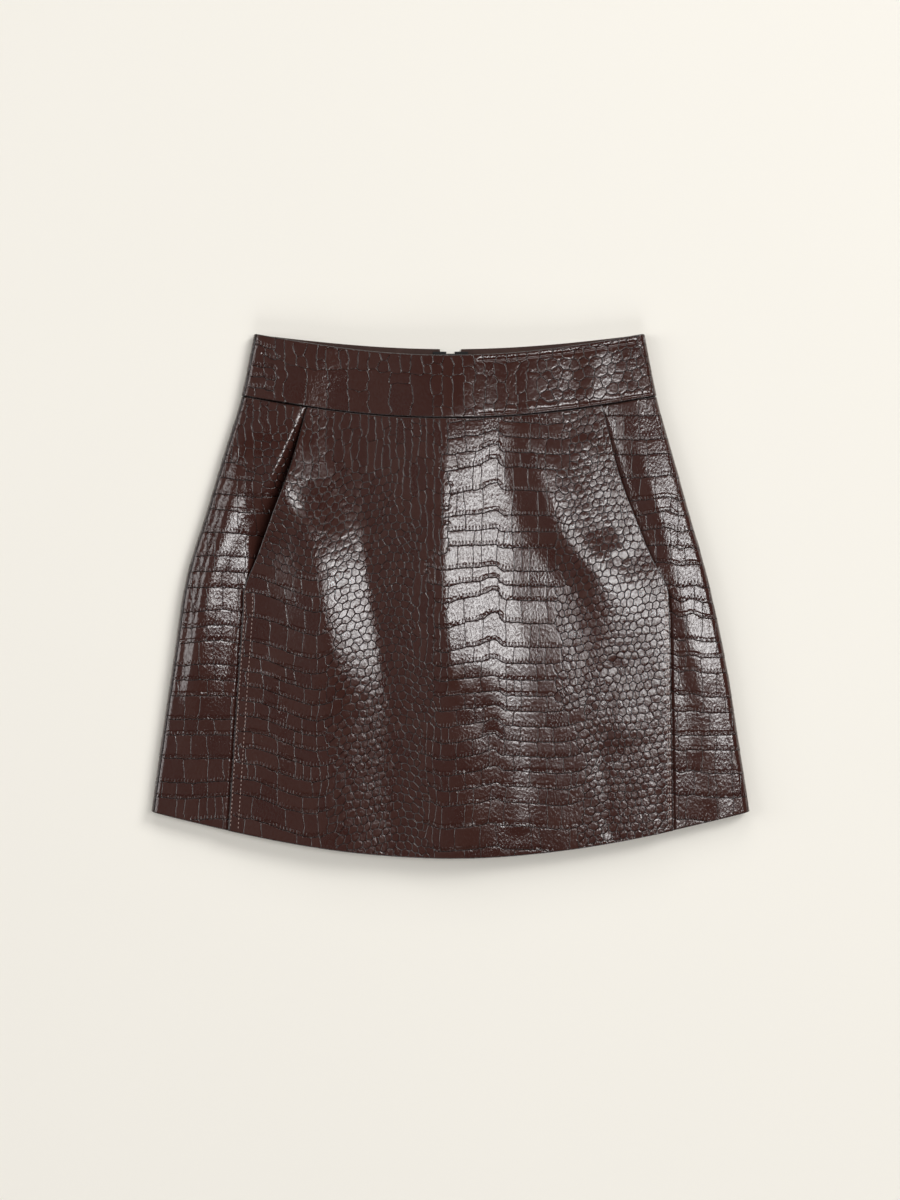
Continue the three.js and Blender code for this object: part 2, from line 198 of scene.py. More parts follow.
def crown(x, y):
    """Height of the front over the tops of the side folds."""
    inside = flat_half(x, y) - np.abs(x)
    plateau = PLATEAU["rise"] * smooth(inside / PLATEAU["run"])
    ridges = swells(x, y, RIDGES, RIDGE_RUN) * smooth(inside / RIDGE_FADE)
    return plateau + ridges + swells(x, y, HIPS, HIP_RUN) * smooth(inside / HIP_FADE)


def surface(s, y):
    """Points on the skirt's own surface; s runs round it from the centre front, right positive."""
    s, y = np.broadcast_arrays(np.asarray(s, float), np.asarray(y, float))
    sign = np.where(s < 0, -1.0, 1.0)
    q = np.abs(s)
    r = curved(SECTIONS, "fold", y)
    flat = flat_half(s, y)
    turn = np.clip((q - flat) / r, 0, math.pi)
    front = q < flat
    back = q > flat + math.pi * r
    x = np.where(front, q, np.where(back, flat - (q - flat - math.pi * r), flat + r * np.sin(turn)))
    z = np.where(front, 2 * r + crown(s, y), r * (1 + np.cos(turn)))
    return np.stack([sign * x, y, np.where(back, 0, z)], -1)


def frontness(s, y):
    """1 on the front, falling through the fold to 0 on the back."""
    turn = (np.abs(s) - flat_half(s, y)) / curved(SECTIONS, "fold", y)
    return (1 + np.cos(math.pi * np.clip(turn / math.pi, 0, 1))) / 2


def outward(s, y):
    """The way that the skirt's surface faces."""
    step = 0.2
    along = surface(s + step, y) - surface(s - step, y)
    up = surface(s, y + step) - surface(s, y - step)
    normal = np.cross(along, up)
    return normal / np.linalg.norm(normal, axis=-1, keepdims=True)


# Lines down the skirt, each the way round at which it lies
def fold_start(sign):
    return lambda y: sign * flat_half(sign, y)


def fold_end(sign):
    return lambda y: sign * (flat_half(sign, y) + math.pi * curved(SECTIONS, "fold", y))


def side_seam(sign, by=0.0):
    turn = math.radians(SIDE_SEAM_TURN["left" if sign < 0 else "right"])
    return lambda y: sign * (flat_half(sign, y) + turn * curved(SECTIONS, "fold", y)) + by


def centre_back(sign):
    return lambda y: fold_end(sign)(y) + sign * (flat_half(sign, y) - straight(ZIP_WINDOW, "half", y))


def front_edge(sign, by=0.0):
    return lambda y: sign * panel_edge(sign, y) + by


def crossing(front, back, by=0.0):
    """An edge across the skirt, as a level for points of the surface."""

    def level(s, y):
        p = surface(s, y)
        share = np.minimum(1, np.abs(p[..., 0]) / half_width(p[..., 0], y))
        swell = 1 - np.cos(math.pi / 2 * share)
        on_front = front["centre"] + front["climb"] * swell
        on_back = back["centre"] + back["climb"] * swell
        return np.where(frontness(s, y) > 0.5, on_front, on_back) + by

    return level


def mouth_swell(y):
    t = np.clip((y - MOUTH["bottom"]) / (MOUTH["top"] - MOUTH["bottom"]), 0, 1)
    return np.sin(math.pi * t) ** 1.5


def front_lift(s, y):
    inside = panel_edge(s, y) - np.abs(s)
    lift = by_side(s, MOUTH_LIFT["left"], MOUTH_LIFT["right"])
    return FRONT_LIFT + lift * mouth_swell(y) * smooth(1 - inside / MOUTH["run"])


def side_lift(s, y):
    outside = np.maximum(np.abs(s) - panel_edge(s, y), 0)
    dip = by_side(s, MOUTH_DIP["left"], MOUTH_DIP["right"])
    return -dip * mouth_swell(y) * smooth(1 - outside / MOUTH["run"])


def band_lift(s, y):
    inside = flat_half(s, y) - np.abs(s)
    rise = BAND_SIDE_LIFT + (BAND_LIFT - BAND_SIDE_LIFT) * smooth(inside / BAND_LIFT_RUN)
    return frontness(s, y) * rise


def no_lift(s, y):
    return np.zeros_like(np.asarray(s, float) + np.asarray(y, float))


def ease(value, table):
    """A smooth line through a short table of (place, value) pairs."""
    places = np.array([row[0] for row in table], float)
    values = np.array([row[1] for row in table], float)
    i = np.clip(np.searchsorted(places, value) - 1, 0, len(places) - 2)
    t = smooth((value - places[i]) / (places[i + 1] - places[i]))
    return values[i] * (1 - t) + values[i + 1] * t


def waver(x, y, seed, length):
    """A gentle smooth noise from -1 to 1, with waves of about that length."""
    rng = np.random.default_rng(seed)
    total = np.zeros(np.broadcast(x, y).shape)
    for _ in range(5):
        angle, phase = rng.uniform(0, 2 * math.pi, 2)
        wave = length * rng.uniform(0.7, 1.5)
        total = total + np.sin(2 * math.pi * (x * math.cos(angle) + y * math.sin(angle)) / wave + phase)
    return total / 3.2


# How far the hide's rows rise and fall across the skirt: place across and rise, in millimetres
FRONT_ROWS = [
    (-205, 14), (-172, 7), (-114, -8), (-80, 2), (-44, 9), (-20, 3), (-6, -1.5), (20, 2), (38, 7.5),
    (44, 1), (95, 0), (140, 9), (200, 16),
]
SIDE_ROWS = [
    (-280, 3), (-225, 0), (-200, 1), (-160, -4), (160, 2), (186, 6), (196, 0.5), (204, 4), (216, 0),
    (280, 1),
]
BAND_ROWS = [(-200, 22), (-100, 6), (0, 0), (100, 6), (200, 22)]
# Where lines of the even lattice fall on the cloth, so that scales are wide or narrow
FRONT_SPREAD = [
    (-260, -262), (-205, -205), (-124, -120), (-66, -60), (-7, -5), (86, 92), (202, 205), (260, 262),
]


def front_kinds(s, y):
    """Which scales grow where on the front panel."""
    s = s + 4 * waver(s, y, 61, 34)
    y = y + 6 * waver(s, y, 62, 45)
    right_edge = np.where(y < -92, 110, 91)
    left_edge = np.where(y < -100, -14, -5)
    plates = (s > left_edge) & (s < right_edge)
    squares = (s > left_edge - 9) & (s <= left_edge) & (y < 40)
    squares |= (s > 76) & (s < 100) & (y > 108)
    plates &= ~squares
    flank = (s < -113) & (y < 24)
    squares |= (s >= -113) & (s < -101) & (y < 22)
    slips = (y > 100) & (s <= left_edge) & (s > -146)
    slips |= (y > 62) & (s <= left_edge) & (s > -48)
    slips |= (s > -32) & (s <= left_edge) & (y > -60) & ~squares
    kinds = np.where(slips, LONG, ROUND)
    kinds = np.where(squares, SQUARE, kinds)
    return np.where(plates | flank, BELLY, kinds)


def side_kinds(s, y):
    """Rows of plates, and above the left one slips and a patch of small scales beside the pocket."""
    s = s + 3 * waver(s, y, 63, 30)
    y = y + 5 * waver(s, y, 64, 40)
    slips = (s < 0) & (y > 112) & (s > -196)
    small = (s < 0) & (y > 84) & (y <= 132) & (s > -163)
    squares = (s < 0) & (s > -176) & (y > 76) & (y <= 112) & ~small
    kinds = np.where(slips & ~small, LONG, BELLY)
    return np.where(small, ROUND, np.where(squares, SQUARE, kinds))


def band_kinds(s, y):
    """Long upright slips at the left, narrower at the centre, small scales over squares at the right."""
    climb = FRONT_SEAM["climb"] * (1 - np.cos(math.pi / 2 * np.clip(np.abs(s) / 172, 0, 1)))
    over = y - FRONT_SEAM["centre"] - climb + 2 * waver(s, y, 65, 30)
    s = s + 4 * waver(s, y, 66, 24)
    left = np.where(over > 34, LONG, FORKED)
    left = np.where(s < -152, BELLY, left)
    right = np.where(over < 10, SQUARE, ROUND)
    return np.where(s < -10, left, np.where(s < 74, LONG, right))


def back_kinds(s, y):
    """Plates down the middle of the back, small scales at its flanks."""
    away = np.abs(s) + 6 * waver(s, y, 67, 50)
    flank = (away > 300) & (away < 352)
    squares = (away > 288) & (away < 364) & ~flank
    return np.where(flank, ROUND, np.where(squares, SQUARE, BELLY))


def spread(a, table):
    return np.interp(a, [row[0] for row in table], [row[1] for row in table])


def front_warp(a, b):
    """From the even lattice to the hide of the front panel."""
    x = spread(a, FRONT_SPREAD)
    kink = np.where(np.abs(x - 26) < 34, 0.75 + 0.6 * waver(0 * b, b, 3, 60), 1.0)
    y = b + ease(x, FRONT_ROWS) * kink
    return x + 1.6 * waver(x, b, 5, 60) + 0.7 * waver(x, b, 4, 16), y + 1.5 * waver(x, b, 6, 75)


def side_warp(a, b):
    y = b + ease(a, SIDE_ROWS) * (0.7 + 0.5 * waver(0 * b, b, 7, 60))
    return a + 1.2 * waver(a, b, 8, 60) + 0.6 * waver(a, b, 4, 16), y + 1.1 * waver(a, b, 9, 80)


def band_warp(a, b):
    x = a + 1.2 * waver(a, b, 11, 50) + 0.9 * waver(a, b, 4, 15)
    return x, b + ease(a, BAND_ROWS) + waver(a, b, 12, 60)


def back_warp(a, b):
    return a + 1.6 * waver(a, b, 14, 70), b + 2.2 * waver(a, b, 15, 90)


def grouped(kind, rng, tall):
    """Joins the small cells of the lattice into scales: the number of each cell's scale, and of its row."""
    rows, columns = kind.shape
    scale = np.full((rows, columns), -1)
    band = np.zeros((rows, columns), int)
    fresh = 0
    j = 0
    while j < rows:
        rise = rng.choice(tall)
        band[j : j + rise] = j
        i = 0
        while i < columns:
            here = kind[j, i]
            if here not in (BELLY, SQUARE):
                i += 1
                continue
            width = rng.choice([1, 2, 2, 2, 3, 4] if here == BELLY else [1, 1, 2])
            end = i
            while end < min(i + width, columns) and kind[j, end] == here:
                end += 1
            part = scale[j : j + rise, i:end]
            part[(part < 0) & np.isin(kind[j : j + rise, i:end], (BELLY, SQUARE))] = fresh
            fresh += 1
            i = end
        j += rise
    for span, step, reach in ((LONG, 1, (2, 5)), (FORKED, 2, (9, 14))):
        for i in range(0, columns, step):
            j = rng.integers(-3, 0)
            while j < rows:
                length = rng.integers(*reach)
                part = scale[max(j, 0) : max(j + length, 0), i : i + step]
                part[(part < 0) & (kind[max(j, 0) : max(j + length, 0), i : i + step] == span)] = fresh
                fresh += 1
                j += length
    loose = scale < 0
    scale[loose] = fresh + np.arange(loose.sum())
    return scale, band


def style_of(kinds, across):
    """The groove between scales of two kinds; across is true where it runs across the skirt."""
    if ROUND in kinds:
        return "ring"
    if BELLY in kinds or SQUARE in kinds:
        if across:
            return "row"
        return "cross" if kinds <= {BELLY, SQUARE} else "long"
    return "long_end" if across else "long"


def groove_net(border, kinds, warp, pitch, seed, tall):
    """Lays scales over a piece and gives the grooves between them: points, edges and styles."""
    rng = np.random.default_rng(seed)
    low = border.min(0) - 4 * pitch
    high = border.max(0) + 4 * pitch
    columns = int((high[0] - low[0]) / pitch)
    rows = int((high[1] - low[1]) / pitch)
    i, j = np.meshgrid(np.arange(columns), np.arange(rows))
    a = low[0] + (i + 0.5) * pitch
    b = low[1] + (j + 0.5) * pitch
    kind = kinds(*warp(a, b))
    scale, band = grouped(kind, rng, tall)
    loose = np.choose(kind, [0.13, 0.05, 0.06, 0.14, 0.14]) * pitch
    a = a + np.where(kind == ROUND, 0.5 * pitch * (j % 2), 0) + rng.normal(0, 1, a.shape) * loose
    b = b + rng.normal(0, 1, a.shape) * np.where(kind == BELLY, 0.6, 1) * loose
    seeds = np.stack([a.ravel(), b.ravel()], -1)
    kind, scale, band = kind.ravel(), scale.ravel(), band.ravel()
    _, _, faces, source, _, _ = delaunay_2d_cdt([Vector(p) for p in seeds], [], [], 0, 1e-7)
    tri = np.array([[source[v][0] for v in f] for f in faces])
    p, q, r = seeds[tri[:, 0]], seeds[tri[:, 1]], seeds[tri[:, 2]]
    d = 2 * ((q - p)[:, 0] * (r - p)[:, 1] - (q - p)[:, 1] * (r - p)[:, 0])
    d = np.where(np.abs(d) < 1e-6, 1e-6, d)
    q2, r2 = ((q - p) ** 2).sum(1), ((r - p) ** 2).sum(1)
    centre = p + np.stack(
        [((r - p)[:, 1] * q2 - (q - p)[:, 1] * r2) / d, ((q - p)[:, 0] * r2 - (r - p)[:, 0] * q2) / d], -1
    )
    sides = {}
    edges, pairs = [], []
    for t, corners in enumerate(tri):
        for k in range(3):
            key = tuple(sorted((corners[k], corners[(k + 1) % 3])))
            if key in sides:
                edges.append((sides[key], t))
                pairs.append(key)
            else:
                sides[key] = t
    edges, pairs = np.array(edges), np.array(pairs)
    real = scale[pairs[:, 0]] != scale[pairs[:, 1]]
    real &= np.abs(centre[edges[:, 0]] - centre[edges[:, 1]]).max(1) > 0.05
    real &= np.abs(centre[edges] - (low + high) / 2).max((1, 2)) < 2 * (high - low).max()
    edges, pairs = edges[real], pairs[real]
    step = np.abs(seeds[pairs[:, 1]] - seeds[pairs[:, 0]])
    plates = np.isin(kind[pairs], (BELLY, SQUARE)).all(1)
    across = np.where(plates, band[pairs[:, 0]] != band[pairs[:, 1]], step[:, 1] > step[:, 0])
    styles = [style_of({kind[m], kind[n]}, x) for (m, n), x in zip(pairs, across)]
    return welded(centre, edges, styles, warp, seeds, scale)


def welded(centre, edges, styles, warp, seeds, scale):
    """Joins the net's corners, cuts its edges short, warps it on to the hide's rows and rounds it."""
    cut = 4
    grain = 0.2
    names = sorted(GROOVES)
    ends = centre[edges]
    t = np.linspace(0, 1, cut + 1)
    lines = ends[:, :1] * (1 - t[None, :, None]) + ends[:, 1:] * t[None, :, None]
    flat = lines.reshape(-1, 2)
    flat = np.stack(warp(flat[:, 0], flat[:, 1]), -1)
    cells = np.round(flat / grain).astype(int)
    _, first, back = np.unique(cells, axis=0, return_index=True, return_inverse=True)
    points = flat[first]
    back = back.reshape(-1, cut + 1)
    pieces = np.stack([back[:, :-1].ravel(), back[:, 1:].ravel()], -1)
    style = np.repeat([names.index(s) for s in styles], cut)
    pieces = np.sort(pieces, 1)
    keep = pieces[:, 0] != pieces[:, 1]
    pieces, order = np.unique(pieces[keep], axis=0, return_index=True)
    style = style[keep][order]
    degree = np.bincount(pieces.ravel(), minlength=len(points))
    for _ in range(3):
        pull = np.zeros_like(points)
        np.add.at(pull, pieces[:, 0], points[pieces[:, 1]])
        np.add.at(pull, pieces[:, 1], points[pieces[:, 0]])
        mean = pull / np.maximum(degree, 1)[:, None]
        share = np.where(degree == 2, 0.5, np.where(degree > 2, 0.3, 0))[:, None]
        points = points * (1 - share) + mean * share
    return {
        "points": points,
        "edges": pieces,
        "style": np.array(names)[style],
        "seeds": np.stack(warp(seeds[:, 0], seeds[:, 1]), -1),
        "scale": scale,
    }


class Relief:
    """The pattern on the flat cloth, kept on a fine square grid: distances to grooves and to the border."""

    def __init__(self, border):
        self.low = border.min(0) - 2 * REACH
        size = np.ceil((border.max(0) + 2 * REACH - self.low) / GRID).astype(int) + 1
        self.shape = (size[1], size[0])
        self.away = np.full(self.shape, REACH)
        self.near = np.full(self.shape, 3.0)
        self.press = np.full(self.shape, 0.2)
        self.fringe = np.zeros(self.shape)
        self.edge, _ = self.distance(border, np.roll(border, -1, 0))
        self.inside = self.filled(border)

    def filled(self, border):
        """1 inside the border, 0 outside it."""
        inside = np.zeros(self.shape)
        after = np.roll(border, -1, 0)
        xs = self.low[0] + GRID * np.arange(self.shape[1])
        for k in range(self.shape[0]):
            y = self.low[1] + GRID * k + 1e-4
            cuts = (border[:, 1] > y) != (after[:, 1] > y)
            p, q = border[cuts], after[cuts]
            at = np.sort(p[:, 0] + (q[:, 0] - p[:, 0]) * (y - p[:, 1]) / (q[:, 1] - p[:, 1]))
            for x0, x1 in zip(at[::2], at[1::2]):
                inside[k, (xs > x0) & (xs < x1)] = 1
        return inside

    def distance(self, start, end):
        """Distance of each grid point to the nearest of some short lines, and to the nearest below it."""
        away = np.full(self.shape, REACH)
        above = np.full(self.shape, FRINGE)
        reach = int(FRINGE / GRID)
        span = np.arange(-reach, reach + 1)
        dx, dy = np.meshgrid(span, span)
        dx, dy = dx.ravel(), dy.ravel()
        for k in range(0, len(start), 3000):
            p, q = start[k : k + 3000], end[k : k + 3000]
            middle = np.round(((p + q) / 2 - self.low) / GRID).astype(int)
            ix = np.clip(middle[:, :1] + dx, 0, self.shape[1] - 1)
            iy = np.clip(middle[:, 1:] + dy, 0, self.shape[0] - 1)
            x = self.low[0] + GRID * ix - p[:, :1]
            y = self.low[1] + GRID * iy - p[:, 1:]
            run = q - p
            length = np.maximum((run**2).sum(1), 1e-9)[:, None]
            t = np.clip((x * run[:, :1] + y * run[:, 1:]) / length, 0, 1)
            d = np.hypot(x - t * run[:, :1], y - t * run[:, 1:])
            np.minimum.at(away, (iy, ix), d)
            np.minimum.at(above, (iy, ix), np.where(y - t * run[:, 1:] > 0.8 * d, d, FRINGE))
        return away, above

    def press_in(self, start, end, style):
        """Adds the grooves to the grids, the nearest one winning."""
        for name, (depth, half) in GROOVES.items():
            chosen = style == name
            away, above = self.distance(start[chosen], end[chosen])
            closer = away / half < self.near
            self.near = np.where(closer, away / half, self.near)
            self.press = np.where(closer, depth, self.press)
            self.away = np.minimum(self.away, away)
            if name == "row":
                self.fringe = 1 - above / FRINGE

    def read(self, grid, points):
        """A grid's value at points of the cloth."""
        at = (points - self.low) / GRID
        cell = np.clip(np.floor(at).astype(int), 0, (self.shape[1] - 2, self.shape[0] - 2))
        t = np.clip(at - cell, 0, 1)
        i, j = cell[:, 0], cell[:, 1]
        lower = grid[j, i] * (1 - t[:, 0]) + grid[j, i + 1] * t[:, 0]
        upper = grid[j + 1, i] * (1 - t[:, 0]) + grid[j + 1, i + 1] * t[:, 0]
        return lower * (1 - t[:, 1]) + upper * t[:, 1]

    def within(self, points, margin=0.0):
        return (self.read(self.inside, points) > 0.99) & (self.read(self.edge, points) >= margin)


def thinned(points, gap):
    """Leaves one point in each small square."""
    if not len(points):
        return points
    _, first = np.unique(np.floor(points / gap).astype(int), axis=0, return_index=True)
    return points[np.sort(first)]


def hexagons(low, high, pitch):
    """An even field of points."""
    rows = int((high[1] - low[1]) / (pitch * 0.866)) + 2
    columns = int((high[0] - low[0]) / pitch) + 2
    i, j = np.meshgrid(np.arange(columns), np.arange(rows))
    x = low[0] + (i + 0.5 * (j % 2)) * pitch
    return np.stack([x.ravel(), (low[1] + j * pitch * 0.866).ravel()], -1)


def triangulated(border, edges_from, edges_to, loose):
    """Triangles inside a border that keep the given short lines. Gives the points and the triangles."""
    count = len(border)
    lines = np.concatenate([edges_from, edges_to]) if len(edges_from) else np.zeros((0, 2))
    points = np.concatenate([border, lines, loose])
    half = len(edges_from)
    edges = [(count + k, count + half + k) for k in range(half)]
    made, _, faces, source, _, _ = delaunay_2d_cdt(
        [Vector(p) for p in points], edges, [list(range(count))], 1, 0.05
    )
    made = np.array([v[:] for v in made])
    place = {}
    in_groove = np.zeros(len(made), bool)
    for new, olds in enumerate(source):
        for old in olds:
            if old < count:
                place[old] = new
            elif old < count + 2 * half:
                in_groove[new] = True
    return made, np.array(faces), np.array([place[k] for k in range(count)]), in_groove


def border_of(lines, bottom, top, step):
    """The edge of a sewn piece on the flat cloth, anticlockwise, as points a step apart."""

    def settle(first, last, t, level):
        y = np.zeros_like(t)
        s = t * 0
        for _ in range(9):
            s = first(y) * (1 - t) + last(y) * t
            y = level(s, y)
        return np.stack([s, y], -1)

    def run(a, b):
        return max(2, int(np.linalg.norm(a - b) / step))

    first, last = lines
    ends = {"sw": (first, bottom), "se": (last, bottom), "ne": (last, top), "nw": (first, top)}
    corner = {name: settle(line, line, np.zeros(1), level)[0] for name, (line, level) in ends.items()}
    t = np.linspace(0, 1, run(corner["sw"], corner["se"]) + 1)
    south = settle(first, last, t, bottom)
    north = settle(first, last, t[::-1], top)
    up = np.linspace(corner["se"][1], corner["ne"][1], run(corner["se"], corner["ne"]) + 1)
    down = np.linspace(corner["nw"][1], corner["sw"][1], run(corner["nw"], corner["sw"]) + 1)
    east = np.stack([last(up), up], -1)
    west = np.stack([first(down), down], -1)
    return np.concatenate([south[:-1], east[:-1], north[:-1], west[:-1]])


def inset(border, by):
    """The border moved in."""
    run = np.roll(border, -1, 0) - np.roll(border, 1, 0)
    run /= np.maximum(np.linalg.norm(run, axis=1), 1e-6)[:, None]
    return border + by * np.stack([-run[:, 1], run[:, 0]], -1)


def laid(s, y, height):
    """Points over the skirt's surface, where height gives the lift of each."""
    return surface(s, y) + outward(s, y) * height(s, y)[..., None]


def slopes(s, y, height):
    """The two directions along the laid cloth, and the way that it faces."""
    step = 0.6
    along = laid(s + step, y, height) - laid(s - step, y, height)
    up = laid(s, y + step, height) - laid(s, y - step, height)
    along /= np.linalg.norm(along, axis=1, keepdims=True)
    up /= np.linalg.norm(up, axis=1, keepdims=True)
    facing = np.cross(along, up)
    return along, up, facing / np.linalg.norm(facing, axis=1, keepdims=True)


def swelled(lift, creases):
    """The lift with listed ridges and troughs on it: half width, rise, and the line each follows."""

    def height(s, y):
        total = lift(s, y)
        for half, rise, line in creases:
            away = np.full(np.shape(total), 1e3)
            for p, q in zip(np.array(line[:-1], float), np.array(line[1:], float)):
                run = q - p
                t = np.clip(((s - p[0]) * run[0] + (y - p[1]) * run[1]) / (run @ run), 0, 1)
                away = np.minimum(away, np.hypot(s - p[0] - t * run[0], y - p[1] - t * run[1]))
            total = total + rise * smooth(1 - away / half)
        return total

    return height


def vertex_normals(verts, tris):
    """The mean direction of the faces round each point."""
    p, q, r = verts[tris[:, 0]], verts[tris[:, 1]], verts[tris[:, 2]]
    face = np.cross(q - p, r - p)
    total = np.zeros_like(verts)
    for k in range(3):
        np.add.at(total, tris[:, k], face)
    return total / np.maximum(np.linalg.norm(total, axis=1, keepdims=True), 1e-12)


def leather_piece(name, border, cloth, leather, seed, wall=PANEL_WALL, roll=0.8, fine=1.0):
    """Makes one panel as a closed shell: scales on its outer face, a plain inner face and rounded edges.
    cloth gives its kinds of scale, the warp of their rows, its lift, and where it is pressed plain."""
    rng = np.random.default_rng(seed + 100)
    lift = cloth["lift"]
    pitch = leather.scale_pitch / MM * cloth["coarse"]
    net = groove_net(border, cloth["kinds"], cloth["warp"], pitch, seed, cloth["tall"])
    relief = Relief(border)
    points, edges = net["points"], net["edges"]
    kept = relief.within(points, 0.9)[edges].all(1)
    start, end = points[edges[kept, 0]], points[edges[kept, 1]]
    style = net["style"][kept]
    relief.press_in(start, end, style)
    half = np.array([GROOVES[s][1] for s in style])

    run = end - start
    side = np.stack([-run[:, 1], run[:, 0]], -1) / np.maximum(np.linalg.norm(run, axis=1), 1e-6)[:, None]
    middle = (start + end) / 2
    beside = []
    for way in (-1, 1):
        spot = middle + way * side * half[:, None]
        beside.append(spot[relief.read(relief.away, spot) > half * 0.8])
    field = hexagons(border.min(0), border.max(0), OUTER_FIELD / fine)
    field = field[relief.read(relief.away, field) > 1.7]
    loose = thinned(np.concatenate(beside + [field]), 0.62 / fine)
    loose = loose[relief.within(loose, 2.0)]
    rings = np.concatenate([inset(border, by) for by in (0.3, 0.8, 1.6)] + cloth["seams"])
    loose = np.concatenate([loose, rings[relief.within(rings)]])
    flat, faces, rim, in_groove = triangulated(border, start, end, loose)

    near = np.where(in_groove, 0, relief.read(relief.near, flat))
    press = relief.read(relief.press, flat) * leather.groove_depth / MM / RING_DEPTH
    tree = kdtree.KDTree(len(net["seeds"]))
    for k, p in enumerate(net["seeds"]):
        tree.insert((p[0], p[1], 0), k)
    tree.balance()
    scale = net["scale"][[tree.find((p[0], p[1], 0))[1] for p in flat]]
    count = net["scale"].max() + 1
    total = np.maximum(np.bincount(net["scale"], minlength=count), 1)
    centre = np.stack([np.bincount(net["scale"], net["seeds"][:, k], count) / total for k in range(2)], -1)
    lean = rng.normal(0, 1, (count, 2)) * leather.scale_lean
    plain = cloth["plain"](flat)
    edge = relief.read(relief.edge, flat)
    edge[rim] = 0
    on_plate = smooth(near - 0.4) * plain
    tilt = np.clip(((flat - centre[scale]) * lean[scale]).sum(1), -0.3, 0.3)
    groove = press * (1 - smooth(near)) * plain
    rounding = 1 - np.sqrt(np.clip(1 - (1 - np.clip(edge / roll, 0, 1)) ** 2, 0, 1))
    s, y = flat[:, 0], flat[:, 1]
    along, up, facing = slopes(s, y, lift)
    outer = laid(s, y, lift) + facing * (on_plate * tilt - groove - roll * rounding)[:, None]
    # The surface that the skirt rests on presses its scales flat
    outer[:, 2] = np.maximum(outer[:, 2], 0)

    back_field = hexagons(border.min(0), border.max(0), INNER_FIELD)
    back_field = back_field[relief.within(back_field, 2.0)]
    under, under_faces, under_rim, _ = triangulated(border, border[:0], border[:0], back_field)
    s, y = under[:, 0], under[:, 1]
    inner = laid(s, y, lambda s, y: lift(s, y) - wall)

    here, there = rim, under_rim + len(outer)
    ahead, beyond = np.roll(here, -1), np.roll(there, -1)
    walls = np.concatenate([np.stack([here, there, ahead], -1), np.stack([ahead, there, beyond], -1)])
    verts = np.concatenate([outer, inner])
    tris = np.concatenate([faces, under_faces[:, ::-1] + len(outer), walls])
    normals = vertex_normals(verts, tris)
    tip = on_plate[:, None] * lean[scale]
    leaning = facing - tip[:, :1] * along - tip[:, 1:] * up
    share = smooth((edge - roll * 0.7) / 0.9)[:, None]
    normals[: len(outer)] = leaning * share + normals[: len(outer)] * (1 - share)
    normals /= np.linalg.norm(normals, axis=1, keepdims=True)

    none = np.zeros(len(under))
    facts = {
        "near": np.concatenate([near, none + 3]),
        "press": np.concatenate([press * plain, none]),
        "fringe": np.concatenate([relief.read(relief.fringe, flat) * plain, none]),
        "edge": np.concatenate([np.clip(edge / 4, 0, 1), none]),
    }
    tint = rng.random(count)
    middles = flat[faces].mean(1)
    own = net["scale"][[tree.find((p[0], p[1], 0))[1] for p in middles]]
    face_tint = np.concatenate([tint[own], np.full(len(under_faces) + len(walls), 0.5)])
    slots = np.repeat([0, 1, 0], [len(faces), len(under_faces), len(walls)])
    made = mesh_object(name, verts * MM, tris, slots, facts, {"tint": face_tint})
    cloth_map = made.data.uv_layers.new(name="cloth")
    places = np.concatenate([flat, under])[tris.ravel()]
    cloth_map.data.foreach_set("uv", (places * MM).astype(np.float32).ravel())
    made.data.normals_split_custom_set_from_vertices(normals)
    made.data.materials.append(material("EmbossedGlazedLeather"))
    made.data.materials.append(material("BuffedLeatherBack"))
    print(name, len(tris), "triangles")
    return made


def tube(path, first, second, thick, sides):
    """A closed tube along a path; first and second give the two axes of its section at each point."""
    turn = 2 * math.pi * np.arange(sides) / sides
    around = first[:, None] * np.cos(turn)[None, :, None] + second[:, None] * np.sin(turn)[None, :, None]
    verts = (path[:, None] + around * np.broadcast_to(thick, len(path))[:, None, None]).reshape(-1, 3)
    k, m = np.meshgrid(np.arange(len(path) - 1), np.arange(sides), indexing="ij")
    a = (k * sides + m).ravel()
    b = (k * sides + (m + 1) % sides).ravel()
    walls = [np.stack([a, b, b + sides], -1), np.stack([a, b + sides, a + sides], -1)]
    fan = np.arange(1, sides - 1)
    last = (len(path) - 1) * sides
    caps = [np.stack([0 * fan, fan + 1, fan], -1), np.stack([0 * fan, fan, fan + 1], -1) + last]
    return verts, np.concatenate(walls + caps)


def gathered(parts):
    """Joins meshes, each a pair of points and triangles, into one pair."""
    starts = np.cumsum([0] + [len(verts) for verts, _ in parts])
    return np.concatenate([p[0] for p in parts]), np.concatenate([p[1] + k for p, k in zip(parts, starts)])


def mesh_object(name, verts, tris, slots=None, point_facts=(), face_facts=()):
    mesh = bpy.data.meshes.new(name)
    mesh.vertices.add(len(verts))
    mesh.vertices.foreach_set("co", np.asarray(verts, np.float32).ravel())
    mesh.loops.add(len(tris) * 3)
    mesh.loops.foreach_set("vertex_index", np.asarray(tris, np.int32).ravel())
    mesh.polygons.add(len(tris))
    mesh.polygons.foreach_set("loop_start", np.arange(0, len(tris) * 3, 3, dtype=np.int32))
    if slots is not None:
        mesh.polygons.foreach_set("material_index", np.asarray(slots, np.int32))
    mesh.polygons.foreach_set("use_smooth", np.ones(len(tris), bool))
    mesh.update(calc_edges=True)
    for key, values in dict(point_facts).items():
        mesh.attributes.new(key, "FLOAT", "POINT").data.foreach_set("value", np.asarray(values, np.float32))
    for key, values in dict(face_facts).items():
        mesh.attributes.new(key, "FLOAT", "FACE").data.foreach_set("value", np.asarray(values, np.float32))
    made = bpy.data.objects.new(name, mesh)
    bpy.context.scene.collection.objects.link(made)
    return made


